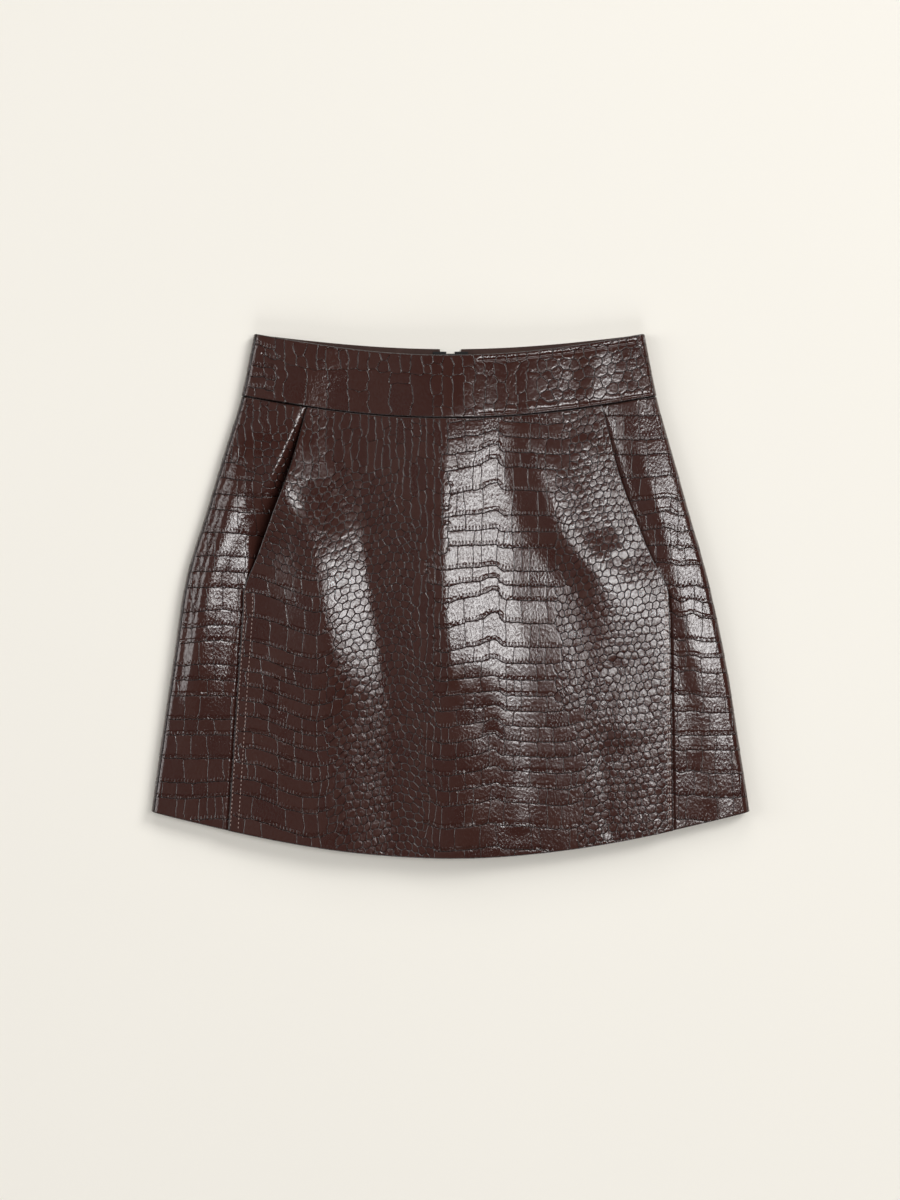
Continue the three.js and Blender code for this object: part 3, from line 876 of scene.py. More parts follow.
def linear(hex_colour):
    """An sRGB hex value as linear RGBA."""
    channels = [int(hex_colour[k : k + 2], 16) / 255 for k in (1, 3, 5)]
    return tuple(c / 12.92 if c <= 0.04045 else ((c + 0.055) / 1.055) ** 2.4 for c in channels) + (1.0,)


def node(tree, kind, settings=None, **links):
    """Adds a shader node. settings sets properties and sockets; links names the node,
    or the output of one, that feeds each socket."""
    made = tree.nodes.new(kind)
    for key, value in (settings or {}).items():
        if isinstance(key, int) or key in made.inputs:
            made.inputs[key].default_value = value
        else:
            setattr(made, key, value)
    for key, output in links.items():
        output = getattr(output, "outputs", [output])[0]
        socket = int(key[1:]) if key[0] == "i" and key[1:].isdigit() else key.replace("_", " ")
        tree.links.new(output, made.inputs[socket])
    return made


MATERIALS = {}
SOFT = {"interpolation_type": "SMOOTHSTEP"}


def maker(build):
    MATERIALS[build.__name__] = build
    return build


def material(name):
    made = bpy.data.materials.get(name)
    if made is None:
        made = bpy.data.materials.new(name)
        made.use_nodes = True
        tree = made.node_tree
        tree.nodes.clear()
        shader = MATERIALS[name](tree)
        out = tree.nodes.new("ShaderNodeOutputMaterial")
        tree.links.new(shader.outputs[0], out.inputs["Surface"])
    return made


@maker
def EmbossedGlazedLeather(tree):
    """Cowhide, plate-embossed with reptile scales and glazed: dark wet-looking plates with a fine wrinkled
    shine, thin duller grooves round them darkened with painted shade, and short creases along the foot of
    each belly row, also with a little painted shade."""
    looks = bpy.context.scene.skirt_leather
    facts = {
        key: node(tree, "ShaderNodeAttribute", {"attribute_name": key}).outputs["Fac"]
        for key in ("near", "press", "fringe", "edge", "tint")
    }
    cloth = node(tree, "ShaderNodeUVMap", {"uv_map": "cloth"})
    trough = node(
        tree, "ShaderNodeMapRange", {**SOFT, 1: 0.0, 2: 1.0, 3: 1.0, 4: 0.0}, i0=facts["near"]
    )
    # Creases about 3 mm apart and 11 mm long, of which only the feet show
    crease_place = node(tree, "ShaderNodeMapping", {"Scale": (355.0, 90.0, 1.0)}, Vector=cloth)
    creases = node(
        tree,
        "ShaderNodeTexVoronoi",
        {"feature": "DISTANCE_TO_EDGE", "voronoi_dimensions": "2D", "Scale": 1.0, "Randomness": 0.3},
        Vector=crease_place,
    ).outputs["Distance"]
    crease = node(tree, "ShaderNodeMapRange", {**SOFT, 1: 0.05, 2: 0.26, 3: 1.0, 4: 0.0}, i0=creases)
    foot = node(
        tree, "ShaderNodeMapRange", {**SOFT, 1: 0.1, 2: 0.4, 3: 0.0, 4: 1.0}, i0=facts["fringe"]
    )
    tick = node(tree, "ShaderNodeMath", {"operation": "MULTIPLY"}, i0=crease, i1=foot)
    # Blotches of dye, some 30 mm across
    cloud = node(tree, "ShaderNodeTexNoise", {"Scale": 32.0, "Detail": 3.0}, Vector=cloth).outputs["Fac"]
    shade = node(tree, "ShaderNodeMath", {"operation": "MULTIPLY_ADD", 1: 0.5, 2: -0.1}, i0=facts["tint"])
    shade = node(tree, "ShaderNodeMath", {"operation": "MULTIPLY_ADD", 1: 0.6}, i0=cloud, i2=shade)
    top = node(
        tree,
        "ShaderNodeMix",
        {"data_type": "RGBA", 6: (*looks.colour, 1), 7: (*looks.worn_colour, 1)},
        i0=shade,
    ).outputs[2]
    # Painted shade: the grooves, and a fifth as much the feet of the creases, are darkened in colour
    # towards the groove colour as if shadowed
    dark = node(tree, "ShaderNodeMath", {"operation": "MULTIPLY_ADD", 1: 0.2}, i0=tick, i2=trough)
    dark = node(tree, "ShaderNodeMath", {"operation": "MINIMUM", 1: 1.0}, i0=dark)
    dye_and_painted_shade = {"data_type": "RGBA", 7: (*looks.painted_shade_and_edge_dye_colour, 1)}
    colour = node(tree, "ShaderNodeMix", dye_and_painted_shade, i0=dark, i6=top).outputs[2]
    # The cut edge is dyed dark and dull for about 1 mm; the same darkening also stands in as painted shade
    # in the gaps at the seams
    rim = node(
        tree, "ShaderNodeMapRange", {**SOFT, 1: 0.05, 2: 0.3, 3: 1.0, 4: 0.0}, i0=facts["edge"]
    )
    colour = node(tree, "ShaderNodeMix", dye_and_painted_shade, i0=rim, i6=colour).outputs[2]
    dulling = {"operation": "MULTIPLY_ADD", 1: 0.16, 2: looks.roughness}
    rough = node(tree, "ShaderNodeMath", dulling, i0=trough)
    rough = node(tree, "ShaderNodeMath", {"operation": "MULTIPLY_ADD", 1: 0.3}, i0=rim, i2=rough)
    rough = node(tree, "ShaderNodeMath", {"operation": "MULTIPLY_ADD", 1: 0.04}, i0=cloud, i2=rough)

    # Heights in millimetres: grooves and plate crowns, creases, pores, and wrinkles of 1.6 by 3 mm,
    # which are drawn coarser than the real ones so that they show
    groove = node(tree, "ShaderNodeMath", {"operation": "MULTIPLY"}, i0=trough, i1=facts["press"])
    shoulder = node(
        tree, "ShaderNodeMapRange", {**SOFT, 1: 0.0, 2: 2.6, 3: 0.0, 4: 0.06}, i0=facts["near"]
    )
    height = node(tree, "ShaderNodeMath", {"operation": "SUBTRACT"}, i0=shoulder, i1=groove)
    height = node(tree, "ShaderNodeMath", {"operation": "MULTIPLY_ADD", 1: -0.3}, i0=tick, i2=height)
    slant = {"Scale": (640.0, 340.0, 1.0), "Rotation": (0.0, 0.0, 0.5)}
    wrinkle_place = node(tree, "ShaderNodeMapping", slant, Vector=cloth)
    wrinkle = node(
        tree,
        "ShaderNodeTexNoise",
        {"noise_dimensions": "2D", "Scale": 1.0, "Detail": 2.0, "Roughness": 0.6},
        Vector=wrinkle_place,
    ).outputs["Fac"]
    height = node(tree, "ShaderNodeMath", {"operation": "MULTIPLY_ADD", 1: 0.15}, i0=wrinkle, i2=height)
    # The glaze has cracked in the wrinkles, and shines less there
    gloss = node(
        tree, "ShaderNodeMapRange", {**SOFT, 1: 0.38, 2: 0.56, 3: 0.24, 4: 0.58}, i0=wrinkle
    )
    # Soft dents about 12 mm across, which make the edges of the shine uneven
    dents = node(
        tree, "ShaderNodeTexNoise", {"noise_dimensions": "2D", "Scale": 90.0, "Detail": 1.0}, Vector=cloth
    ).outputs["Fac"]
    height = node(tree, "ShaderNodeMath", {"operation": "MULTIPLY_ADD", 1: 0.1}, i0=dents, i2=height)
    pores = node(
        tree,
        "ShaderNodeTexVoronoi",
        {"feature": "F1", "voronoi_dimensions": "2D", "Scale": 1500.0},
        Vector=cloth,
    ).outputs["Distance"]
    height = node(tree, "ShaderNodeMath", {"operation": "MULTIPLY_ADD", 1: 0.008}, i0=pores, i2=height)
    bump = node(tree, "ShaderNodeBump", {"Strength": 1.0, "Distance": 0.001}, Height=height)
    return node(
        tree,
        "ShaderNodeBsdfPrincipled",
        {"IOR": 1.5, "Coat Weight": 0.3, "Coat Roughness": 0.08, "Coat IOR": 1.5},
        Base_Color=colour,
        Roughness=rough,
        Specular_IOR_Level=gloss,
        Normal=bump,
        Coat_Normal=bump,
    )


@maker
def BuffedLeatherBack(tree):
    """The flesh side of the leather, split and buffed: dull dark brown with a short uneven nap."""
    cloth = node(tree, "ShaderNodeUVMap", {"uv_map": "cloth"})
    fibres = {"Scale": 900.0, "Detail": 5.0, "Roughness": 0.7}
    nap = node(tree, "ShaderNodeTexNoise", fibres, Vector=cloth).outputs["Fac"]
    patch = node(tree, "ShaderNodeTexNoise", {"Scale": 60.0, "Detail": 2.0}, Vector=cloth).outputs["Fac"]
    colour = node(
        tree, "ShaderNodeMix", {"data_type": "RGBA", 6: linear("#2b1a16"), 7: linear("#45302a")}, i0=patch
    ).outputs[2]
    bump = node(tree, "ShaderNodeBump", {"Strength": 0.5, "Distance": 0.0002}, Height=nap)
    return node(
        tree,
        "ShaderNodeBsdfPrincipled",
        {"Roughness": 0.8, "Specular IOR Level": 0.3},
        Base_Color=colour,
        Normal=bump,
    )


@maker
def WaxedThread(tree):
    """Bonded polyester thread, twisted and waxed: pale brown, so each stitch shows as a bright dash."""
    place = node(tree, "ShaderNodeTexCoord").outputs["Object"]
    # Twist drawn at 0.5 mm, coarser than the real ply
    ply = {"Scale": 700.0, "Distortion": 1.0, "bands_direction": "DIAGONAL"}
    twist = node(tree, "ShaderNodeTexWave", ply, Vector=place).outputs["Fac"]
    colour = node(
        tree, "ShaderNodeMix", {"data_type": "RGBA", 6: linear("#836d65"), 7: linear("#b5a098")}, i0=twist
    ).outputs[2]
    bump = node(tree, "ShaderNodeBump", {"Strength": 0.4, "Distance": 0.0001}, Height=twist)
    return node(tree, "ShaderNodeBsdfPrincipled", {"Roughness": 0.42}, Base_Color=colour, Normal=bump)


@maker
def WovenZipTape(tree):
    """Polyester tape, woven in a close herringbone and dyed black: matte, with a fine ribbed weave."""
    place = node(tree, "ShaderNodeTexCoord").outputs["Object"]
    # Ribs 0.8 mm apart, drawn a little coarser than the real weave
    level = {"Scale": 400.0, "bands_direction": "Y"}
    ribs = node(tree, "ShaderNodeTexWave", level, Vector=place).outputs["Fac"]
    slanting = {"Scale": 500.0, "bands_direction": "DIAGONAL"}
    threads = node(tree, "ShaderNodeTexWave", slanting, Vector=place).outputs["Fac"]
    weave = node(tree, "ShaderNodeMath", {"operation": "MULTIPLY"}, i0=ribs, i1=threads)
    colour = node(
        tree, "ShaderNodeMix", {"data_type": "RGBA", 6: linear("#0d0c0c"), 7: linear("#1d1b1b")}, i0=weave
    ).outputs[2]
    bump = node(tree, "ShaderNodeBump", {"Strength": 0.5, "Distance": 0.0001}, Height=weave)
    return node(tree, "ShaderNodeBsdfPrincipled", {"Roughness": 0.85}, Base_Color=colour, Normal=bump)


@maker
def MouldedZipCoil(tree):
    """Nylon monofilament, coiled and heat-set: black with a satin shine."""
    place = node(tree, "ShaderNodeTexCoord").outputs["Object"]
    scuff = node(tree, "ShaderNodeTexNoise", {"Scale": 900.0, "Detail": 2.0}, Vector=place).outputs["Fac"]
    rough = node(tree, "ShaderNodeMath", {"operation": "MULTIPLY_ADD", 1: 0.2, 2: 0.3}, i0=scuff)
    return node(
        tree, "ShaderNodeBsdfPrincipled", {"Base Color": linear("#151414"), "IOR": 1.53}, Roughness=rough
    )


@maker
def LacqueredZincSlider(tree):
    """Die-cast zinc under baked black lacquer: smooth and dark, rubbed a little greyer where it is held."""
    place = node(tree, "ShaderNodeTexCoord").outputs["Object"]
    rub = node(tree, "ShaderNodeTexNoise", {"Scale": 260.0, "Detail": 4.0}, Vector=place).outputs["Fac"]
    colour = node(
        tree, "ShaderNodeMix", {"data_type": "RGBA", 6: linear("#141313"), 7: linear("#2a2726")}, i0=rub
    ).outputs[2]
    rough = node(tree, "ShaderNodeMath", {"operation": "MULTIPLY_ADD", 1: 0.25, 2: 0.2}, i0=rub)
    bump = node(tree, "ShaderNodeBump", {"Strength": 0.15, "Distance": 0.0001}, Height=rub)
    return node(
        tree,
        "ShaderNodeBsdfPrincipled",
        {"Metallic": 0.4, "Coat Weight": 0.6, "Coat Roughness": 0.15},
        Base_Color=colour,
        Roughness=rough,
        Normal=bump,
    )


@maker
def PaintedStudioFloor(tree):
    """A pale warm board, sprayed matte: nearly even, with the faintest mottle."""
    place = node(tree, "ShaderNodeTexCoord").outputs["Object"]
    patch = node(tree, "ShaderNodeTexNoise", {"Scale": 2.2, "Detail": 2.0}, Vector=place).outputs["Fac"]
    colour = node(
        tree, "ShaderNodeMix", {"data_type": "RGBA", 6: linear("#f2eee5"), 7: linear("#f4f0e7")}, i0=patch
    ).outputs[2]
    matte = {"Roughness": 0.9, "Specular IOR Level": 0.1}
    return node(tree, "ShaderNodeBsdfPrincipled", matte, Base_Color=colour)


class SkirtLeather(PropertyGroup):
    scale_pitch: FloatProperty(name="Scale pitch", description="From one small scale to the next",
                               default=0.0066, unit="LENGTH")
    groove_depth: FloatProperty(name="Groove depth", description="Depth of the grooves round small scales",
                                default=0.0004, unit="LENGTH")
    scale_lean: FloatProperty(name="Scale lean", description="How far single scales tilt, as a slope",
                              default=0.008)
    roughness: FloatProperty(name="Roughness", description="Roughness of the glaze on the scales",
                             default=0.08, subtype="FACTOR")
    colour: FloatVectorProperty(name="Colour", description="Colour of the leather",
                                subtype="COLOR", default=linear("#341b17")[:3])
    worn_colour: FloatVectorProperty(name="Crown colour", description="Colour of the paler scales",
                                     subtype="COLOR", default=linear("#3f2620")[:3])
    # Painted shade colour for the grooves and crease feet; at the cut edges it is the edge dye, with
    # painted shade of the seam gaps
    painted_shade_and_edge_dye_colour: FloatVectorProperty(name="Groove colour", description="Colour in the grooves",
                                       subtype="COLOR", default=linear("#150a08")[:3])


class SkirtStudio(PropertyGroup):
    camera_height: FloatProperty(name="Camera height", description="Lens over the surface",
                                 default=2.423, unit="LENGTH")
    lens: FloatProperty(name="Lens", description="Focal length in millimetres", default=85.0)


def settled(made, node_name, body=BODY):
    """Rides a piece on its body and puts it in its solid's place."""
    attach(made, body)
    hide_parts(node_name)


UNDER_BAND = crossing(FRONT_SEAM, BACK_SEAM, -SEAM_GAP / 2)
BAND_FOOT = crossing(FRONT_SEAM, BACK_SEAM, SEAM_GAP / 2)
BAND_TOP = crossing(FRONT_TOP, BACK_TOP)
HEM_LINE = crossing(HEM, HEM)
STEP = 2.0


def unpressed(flat):
    return np.ones(len(flat))


def front_pressed(flat):
    """The strip along the front panel's turned edges, where pressing has flattened the scales."""
    s, y = flat[:, 0], flat[:, 1]
    inside = panel_edge(s, y) - np.abs(s)
    strip = by_side(s, 2.6, 6.5)
    return 0.12 + 0.88 * smooth((inside - strip) / 2.5)


# Ridges and troughs laid on the cloth's main form: half width, rise, and the line that each follows
FRONT_CREASES = [
    (16, 0.6, [(30, -60), (46, -110), (58, -190)]),
    (14, -0.5, [(-36, 60), (-30, -20), (-34, -110)]),
    (12, 0.5, [(112, 128), (122, 84), (140, 40)]),
    (10, -0.4, [(140, -60), (128, -140), (134, -200)]),
    (12, 0.4, [(-150, -70), (-146, -140)]),
    (10, 0.6, [(-3, 150), (-6, 60), (-4, -20), (0, -70)]),
    (36, 1.5, [(176, 10), (178, -60), (174, -140), (170, -200)]),
    (30, 0.9, [(130, 30), (138, -20), (142, -110)]),
    (26, 1.3, [(-142, 118), (-150, 90), (-158, 60)]),
]
SIDE_CREASES = [
    (15, -9, [(-108, 160), (-123, 130), (-138.5, 98), (-157, 47), (-161, 8)]),
    (10, -2.5, [(124, 150), (134, 115), (148, 70), (166, 28)]),
    (2.6, -1.6, [(-176, 2), (-177, -18), (-182.6, -100), (-189.2, -200)]),
    (2.4, -1.2, [(185.2, 2), (186.7, -18), (188.2, -100), (189.7, -200)]),
]
BAND_CREASES = [
    (26, 0.65, [(8, 160), (10, 200)]),
    (20, 1.0, [(120, 172), (124, 206)]),
    (2.2, -0.7, [(s, BAND_TOP(s, 210.0) - 5.5) for s in (24, 48, 72, 96, 120, 140, 157)]),
    (1.8, -0.5, [(s, BAND_FOOT(s, 155.0) + 2.6) for s in (24, 48, 72, 96, 120, 140, 160, 170)]),
]


def beside_seam(sign):
    """Points of the side panel close outside the lapped seam, where it dips."""
    y = np.arange(-200, 6, 1.8)
    return [np.stack([front_edge(sign, sign * by)(y), y], -1) for by in (0.0, 0.7, 1.4, 2.2, 3.4)]


def along_band():
    """Points along the waistband's two pressed lines, near its edges."""
    s = np.arange(22, 172, 2.0)
    top = [np.stack([s, BAND_TOP(s, 210.0) - by], -1) for by in (3.6, 4.6, 5.5, 6.4, 7.4)]
    foot = [np.stack([s, BAND_FOOT(s, 155.0) + by], -1) for by in (0.9, 1.8, 2.6, 3.4, 4.3)]
    return top + foot


FRONT = {"kinds": front_kinds, "warp": front_warp, "lift": swelled(front_lift, FRONT_CREASES),
         "plain": front_pressed, "tall": [2, 2, 2, 3], "seams": [], "coarse": 1.0}
SIDES = {"kinds": side_kinds, "warp": side_warp, "lift": swelled(side_lift, SIDE_CREASES),
         "plain": unpressed, "tall": [2, 3], "seams": beside_seam(-1) + beside_seam(1), "coarse": 1.0}
BACKS = {"kinds": back_kinds, "warp": back_warp, "lift": no_lift,
         "plain": unpressed, "tall": [2, 3], "seams": [], "coarse": 1.0}
FRONT_BAND = {"kinds": band_kinds, "warp": band_warp, "lift": swelled(band_lift, BAND_CREASES),
              "plain": unpressed, "tall": [1, 2], "seams": along_band(), "coarse": 1.35}
BACK_BAND = {"kinds": back_kinds, "warp": back_warp, "lift": band_lift,
             "plain": unpressed, "tall": [2, 3], "seams": [], "coarse": 1.0}


class SKIRT_OT_front_panel(Operator):
    """Makes the front panel, whose turned side edges are the pocket mouths"""

    bl_idname = "skirt.front_panel"
    bl_label = "Front panel"

    def execute(self, context):
        border = border_of((front_edge(-1), front_edge(1)), HEM_LINE, UNDER_BAND, STEP)
        made = leather_piece("FrontPanel", border, FRONT, context.scene.skirt_leather, 21)
        settled(made, "front_panel")
        return {"FINISHED"}


class SKIRT_OT_side_panels(Operator):
    """Makes the two side panels, which run on under the front panel as the pockets' facings"""

    bl_idname = "skirt.side_panels"
    bl_label = "Side panels"

    def execute(self, context):
        for sign, name in ((-1, "left"), (1, "right")):
            lines = (front_edge(sign, -sign * LAP), side_seam(sign, -sign * SEAM_GAP / 2))
            border = border_of(lines if sign > 0 else lines[::-1], HEM_LINE, UNDER_BAND, STEP)
            made = leather_piece(f"SidePanel_{name}", border, SIDES, context.scene.skirt_leather, 31 + sign)
            settled(made, f"side_panel_{name}")
        return {"FINISHED"}


class SKIRT_OT_back_panels(Operator):
    """Makes the two back panels, which the skirt rests on"""

    bl_idname = "skirt.back_panels"
    bl_label = "Back panels"

    def execute(self, context):
        leather = context.scene.skirt_leather
        for sign, name in ((-1, "left"), (1, "right")):
            lines = (side_seam(sign, sign * SEAM_GAP / 2), centre_back(sign))
            border = border_of(lines if sign > 0 else lines[::-1], HEM_LINE, UNDER_BAND, STEP)
            made = leather_piece(f"BackPanel_{name}", border, BACKS, leather, 41 + sign, fine=0.8)
            settled(made, f"back_panel_{name}")
        return {"FINISHED"}


class SKIRT_OT_waistband(Operator):
    """Makes the waistband: one front piece and two back halves, each of doubled leather"""

    bl_idname = "skirt.waistband"
    bl_label = "Waistband"

    def execute(self, context):
        leather = context.scene.skirt_leather
        ends = (side_seam(-1, SEAM_GAP / 2), side_seam(1, -SEAM_GAP / 2))
        border = border_of(ends, BAND_FOOT, BAND_TOP, STEP)
        made = leather_piece("FrontWaistband", border, FRONT_BAND, leather, 51, BAND_WALL, 1.1)
        settled(made, "front_waistband")
        for sign, name in ((-1, "left"), (1, "right")):
            lines = (side_seam(sign, sign * SEAM_GAP / 2), centre_back(sign))
            border = border_of(lines if sign > 0 else lines[::-1], BAND_FOOT, BAND_TOP, STEP)
            piece = f"BackWaistband_{name}"
            made = leather_piece(piece, border, BACK_BAND, leather, 55 + sign, BAND_WALL, 1.1, 0.8)
            settled(made, f"back_waistband_{name}")
        return {"FINISHED"}


# Rows of stitches beside the front panel's edges: side, distance in from the edge, lowest and highest point
STITCH_ROWS = [
    (-1, 1.5, -196, 2), (-1, 8.2, -198, 2), (1, 2.0, -196, 2), (1, 3.8, -196, 2),
]
STITCH = {"length": 2.4, "gap": 1.2, "thick": 0.7, "rings": 5, "sides": 6, "arch": 0.32, "sink": 0.28}


class SKIRT_OT_stitching(Operator):
    """Sews the rows of stitches beside the front panel's seams"""

    bl_idname = "skirt.stitching"
    bl_label = "Stitching"

    def execute(self, context):
        share = np.linspace(0, 1, STITCH["rings"])
        thick = STITCH["thick"] / 2 * np.sqrt(1 - (0.93 * (2 * share - 1)) ** 2)
        sink = STITCH["arch"] * np.sin(math.pi * share) - STITCH["sink"]
        stitches = []
        for sign, inset_by, low, high in STITCH_ROWS:
            for y in np.arange(low, high, STITCH["length"] + STITCH["gap"]):
                ys = y + STITCH["length"] * share
                ss = front_edge(sign, -sign * inset_by)(ys)
                along, _, facing = slopes(ss, ys, FRONT["lift"])
                spine = laid(ss, ys, FRONT["lift"]) + facing * sink[:, None]
                stitches.append(tube(spine, along, -facing, thick, STITCH["sides"]))
        verts, tris = gathered(stitches)
        made = mesh_object("Stitching", verts * MM, tris)
        made.data.materials.append(material("WaxedThread"))
        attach(made, BODY)
        return {"FINISHED"}


# The zip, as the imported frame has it: the tapes' level over the surface, and half the gap between them
TAPE = {"reach": 15, "thick": 0.5, "bottom": 22, "top": 208.8}
TAPE_LEVEL = {"y": [208.8, 160, 140, 22], "z": [2.7, 2.7, 1.8, 1.8]}
TAPE_EDGE = {"y": [208.8, 205.5, 196.5, 22], "half": [3.6, 3.4, 0.2, 0.2]}
# The coil: each side is a flattened spring whose turns reach a little past the middle, over a filler cord
COIL = {"pitch": 1.5, "bottom": 36.3, "top": 195.3, "middle": 0.87, "reach": 1.06, "rise": 0.2,
        "wire": 0.19, "below": 0.7, "steps": 10, "sides": 6, "cord": 0.24}


def woven_tape(sign):
    """One tape as a thin closed sheet, ribbed across, with a raised selvage."""
    ys = np.arange(TAPE["bottom"], TAPE["top"] + 0.01, 0.9)
    share = np.linspace(0, 1, 15)
    near = straight(TAPE_EDGE, "half", ys)[:, None]
    x = sign * (near + (TAPE["reach"] - near) * share[None])
    y = np.broadcast_to(ys[:, None], x.shape)
    level = np.broadcast_to(straight(TAPE_LEVEL, "z", ys)[:, None], x.shape)
    rib = 0.04 * np.where(np.arange(len(ys)) % 2, 1, -1)[:, None] * (share > 0) * (share < 1)
    selvage = 0.08 * smooth(1 - (1 - share) / 0.12)[None]
    low = np.stack([x, y, level - rib], -1)
    high = np.stack([x, y, level + TAPE["thick"] + rib - selvage], -1)
    rows, columns = x.shape
    index = np.arange(rows * columns).reshape(rows, columns)
    a, b, c, d = (part.ravel() for part in (index[:-1, :-1], index[:-1, 1:], index[1:, 1:], index[1:, :-1]))
    face = np.concatenate([np.stack([a, b, c], -1), np.stack([a, c, d], -1)])
    rim = np.concatenate([index[0, :-1], index[:-1, -1], index[-1, :0:-1], index[:0:-1, 0]])
    ahead, under = np.roll(rim, -1), rows * columns
    walls = np.concatenate(
        [np.stack([rim, rim + under, ahead + under], -1), np.stack([rim, ahead + under, ahead], -1)]
    )
    verts = np.concatenate([high.reshape(-1, 3), low.reshape(-1, 3)])
    tris = np.concatenate([face, face[:, ::-1] + under, walls])
    return verts, tris if sign > 0 else tris[:, ::-1]


def zip_coil():
    """Both sides of the closed coil: the springs, half a turn apart, and the filler cords inside them."""
    parts = []
    for sign in (-1, 1):
        start = COIL["bottom"] + (sign > 0) * COIL["pitch"] / 2
        turns = int((COIL["top"] - start) / COIL["pitch"])
        turn = 2 * math.pi * np.arange(turns * COIL["steps"] + 1) / COIL["steps"]
        y = start + COIL["pitch"] * (turn / (2 * math.pi) + 0.16 * np.sin(turn))
        x = sign * (COIL["middle"] - COIL["reach"] * np.cos(turn))
        z = straight(TAPE_LEVEL, "z", y) - COIL["below"] + COIL["rise"] * np.sin(turn)
        path = np.stack([x, y, z], -1)
        run = np.gradient(path, axis=0)
        first = np.cross(run, (0, 1, 0))
        second = np.cross(first, run)
        first /= np.linalg.norm(first, axis=1, keepdims=True)
        second /= np.linalg.norm(second, axis=1, keepdims=True)
        parts.append(tube(path, first, -second, COIL["wire"], COIL["sides"]))
        y = np.linspace(COIL["bottom"], COIL["top"], 60)
        x = np.full_like(y, sign * (COIL["middle"] + 0.3))
        path = np.stack([x, y, straight(TAPE_LEVEL, "z", y) - COIL["below"]], -1)
        first = np.tile((1.0, 0, 0), (len(y), 1))
        parts.append(tube(path, first, np.tile((0, 0, -1.0), (len(y), 1)), COIL["cord"], 8))
    return gathered(parts)


class SKIRT_OT_zip(Operator):
    """Makes the zip's woven tapes and coil, and finishes its slider and pull"""

    bl_idname = "skirt.zip"
    bl_label = "Zip"

    def execute(self, context):
        for sign, name in ((-1, "left"), (1, "right")):
            verts, tris = woven_tape(sign)
            made = mesh_object(f"ZipTape_{name}", verts * MM, tris)
            made.data.materials.append(material("WovenZipTape"))
            settled(made, f"zip_tape_{name}")
        verts, tris = zip_coil()
        made = mesh_object("ZipCoil", verts * MM, tris)
        made.data.materials.append(material("MouldedZipCoil"))
        settled(made, "zip_chain")
        for name in ("zip_slider", "zip_pull"):
            for slot in bpy.data.objects[name].material_slots:
                slot.material = material("LacqueredZincSlider")
        return {"FINISHED"}


class SKIRT_OT_studio(Operator):
    """Makes the floor, the lights and the camera that looks straight down"""

    bl_idname = "skirt.studio"
    bl_label = "Studio"

    def execute(self, context):
        scene = context.scene
        studio = scene.skirt_studio
        size, depth = 6.0, 0.0
        floor = mesh_object(
            "StudioFloor",
            [(-size, -size, depth), (size, -size, depth), (size, size, depth), (-size, size, depth)],
            [(0, 1, 2), (0, 2, 3)],
        )
        floor.data.materials.append(material("PaintedStudioFloor"))
        camera = bpy.data.cameras.new("Overhead")
        camera.lens = studio.lens
        camera.sensor_width = 36
        camera.clip_end = 50
        rig = bpy.data.objects.new("Overhead", camera)
        rig.location = (AIM[0] * MM, AIM[1] * MM, studio.camera_height)
        scene.collection.objects.link(rig)
        scene.camera = rig
        for name, place, target, wide, tall, power, colour in LIGHTS:
            lamp = bpy.data.lights.new(name, "AREA")
            lamp.shape = "RECTANGLE"
            lamp.size, lamp.size_y = wide, tall
            lamp.energy = power
            lamp.color = linear(colour)[:3]
            spot = bpy.data.objects.new(name, lamp)
            spot.location = place
            way = Vector(target) - Vector(place)
            spot.rotation_euler = way.to_track_quat("-Z", "Y").to_euler()
            scene.collection.objects.link(spot)
        world = bpy.data.worlds.new("Studio")
        world.use_nodes = True
        world.node_tree.nodes["Background"].inputs[0].default_value = linear("#f4efe8")
        world.node_tree.nodes["Background"].inputs[1].default_value = 0.05
        scene.world = world
        scene.view_settings.view_transform = "Standard"
        return {"FINISHED"}


# Where the lens points, in millimetres
AIM = (-0.4, -3.8)
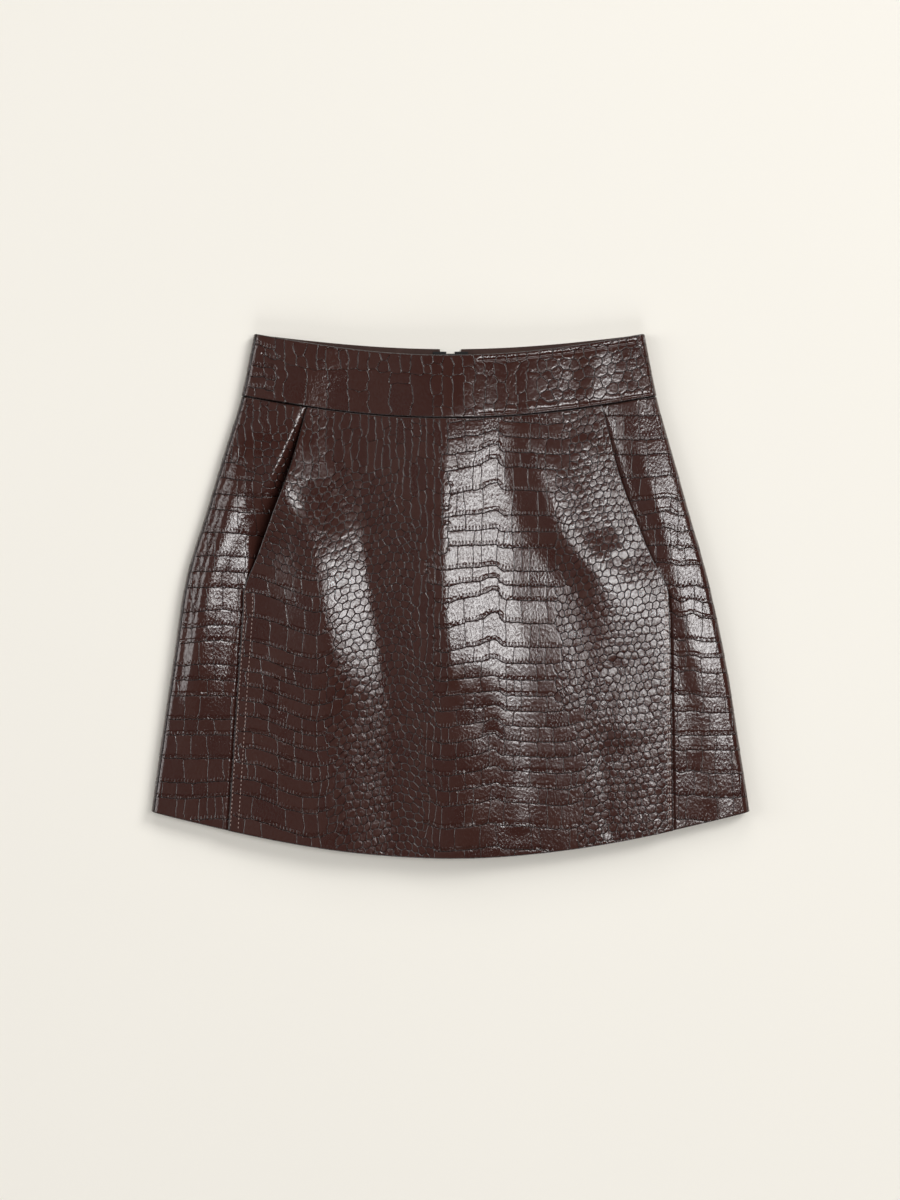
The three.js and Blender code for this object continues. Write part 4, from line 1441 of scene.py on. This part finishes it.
# Softboxes: name, place, target, width, length, watts, colour
LIGHTS = [
    ("StripCore", (1.45, 0.2, 4.0), (0.0, 0.0, 0.0), 0.3, 2.2, 19, "#ffffff"),
    ("StripMiddle", (1.46, 0.2, 4.03), (0.0, 0.0, 0.0), 0.55, 2.2, 19, "#ffffff"),
    ("StripWide", (1.47, 0.2, 4.06), (0.0, 0.0, 0.0), 0.95, 2.2, 15, "#ffffff"),
    ("Key", (3.6, 3.0, 4.0), (0.0, 0.0, 0.0), 2.4, 2.4, 184, "#ffffff"),
    ("FillLeft", (-1.9, 0.1, 3.9), (0.0, 0.0, 0.0), 2.4, 3.2, 4, "#ffffff"),
    ("SideLeft", (-5.0, 0.5, 3.0), (0.0, 0.0, 0.0), 3.0, 4.0, 125, "#ffffff"),
    ("SideLow", (0.2, -5.2, 3.2), (0.0, 0.0, 0.0), 4.0, 3.0, 95, "#ffffff"),
    ("SideHigh", (-0.5, 5.4, 3.2), (0.0, 0.0, 0.0), 4.0, 3.0, 85, "#ffffff"),
]


class SKIRT_PT_panel(Panel):
    bl_label = "Leather mini skirt"
    bl_idname = "SKIRT_PT_panel"
    bl_space_type = "VIEW_3D"
    bl_region_type = "UI"
    bl_category = "Skirt"

    def draw(self, context):
        column = self.layout.column()
        for step in STEPS:
            column.operator(step.bl_idname)
        for group in (context.scene.skirt_leather, context.scene.skirt_studio):
            for key in group.__annotations__:
                column.prop(group, key)


STEPS = (
    SKIRT_OT_studio,
    SKIRT_OT_front_panel,
    SKIRT_OT_side_panels,
    SKIRT_OT_back_panels,
    SKIRT_OT_waistband,
    SKIRT_OT_stitching,
    SKIRT_OT_zip,
)
CLASSES = (SkirtLeather, SkirtStudio, *STEPS, SKIRT_PT_panel)


def register():
    for cls in CLASSES:
        bpy.utils.register_class(cls)
    bpy.types.Scene.skirt_leather = PointerProperty(type=SkirtLeather)
    bpy.types.Scene.skirt_studio = PointerProperty(type=SkirtStudio)


def unregister():
    del bpy.types.Scene.skirt_studio
    del bpy.types.Scene.skirt_leather
    for cls in reversed(CLASSES):
        bpy.utils.unregister_class(cls)


def main():
    register()
    for step in STEPS:
        group, name = step.bl_idname.split(".")
        getattr(getattr(bpy.ops, group), name)()


if __name__ == "__main__":
    main()
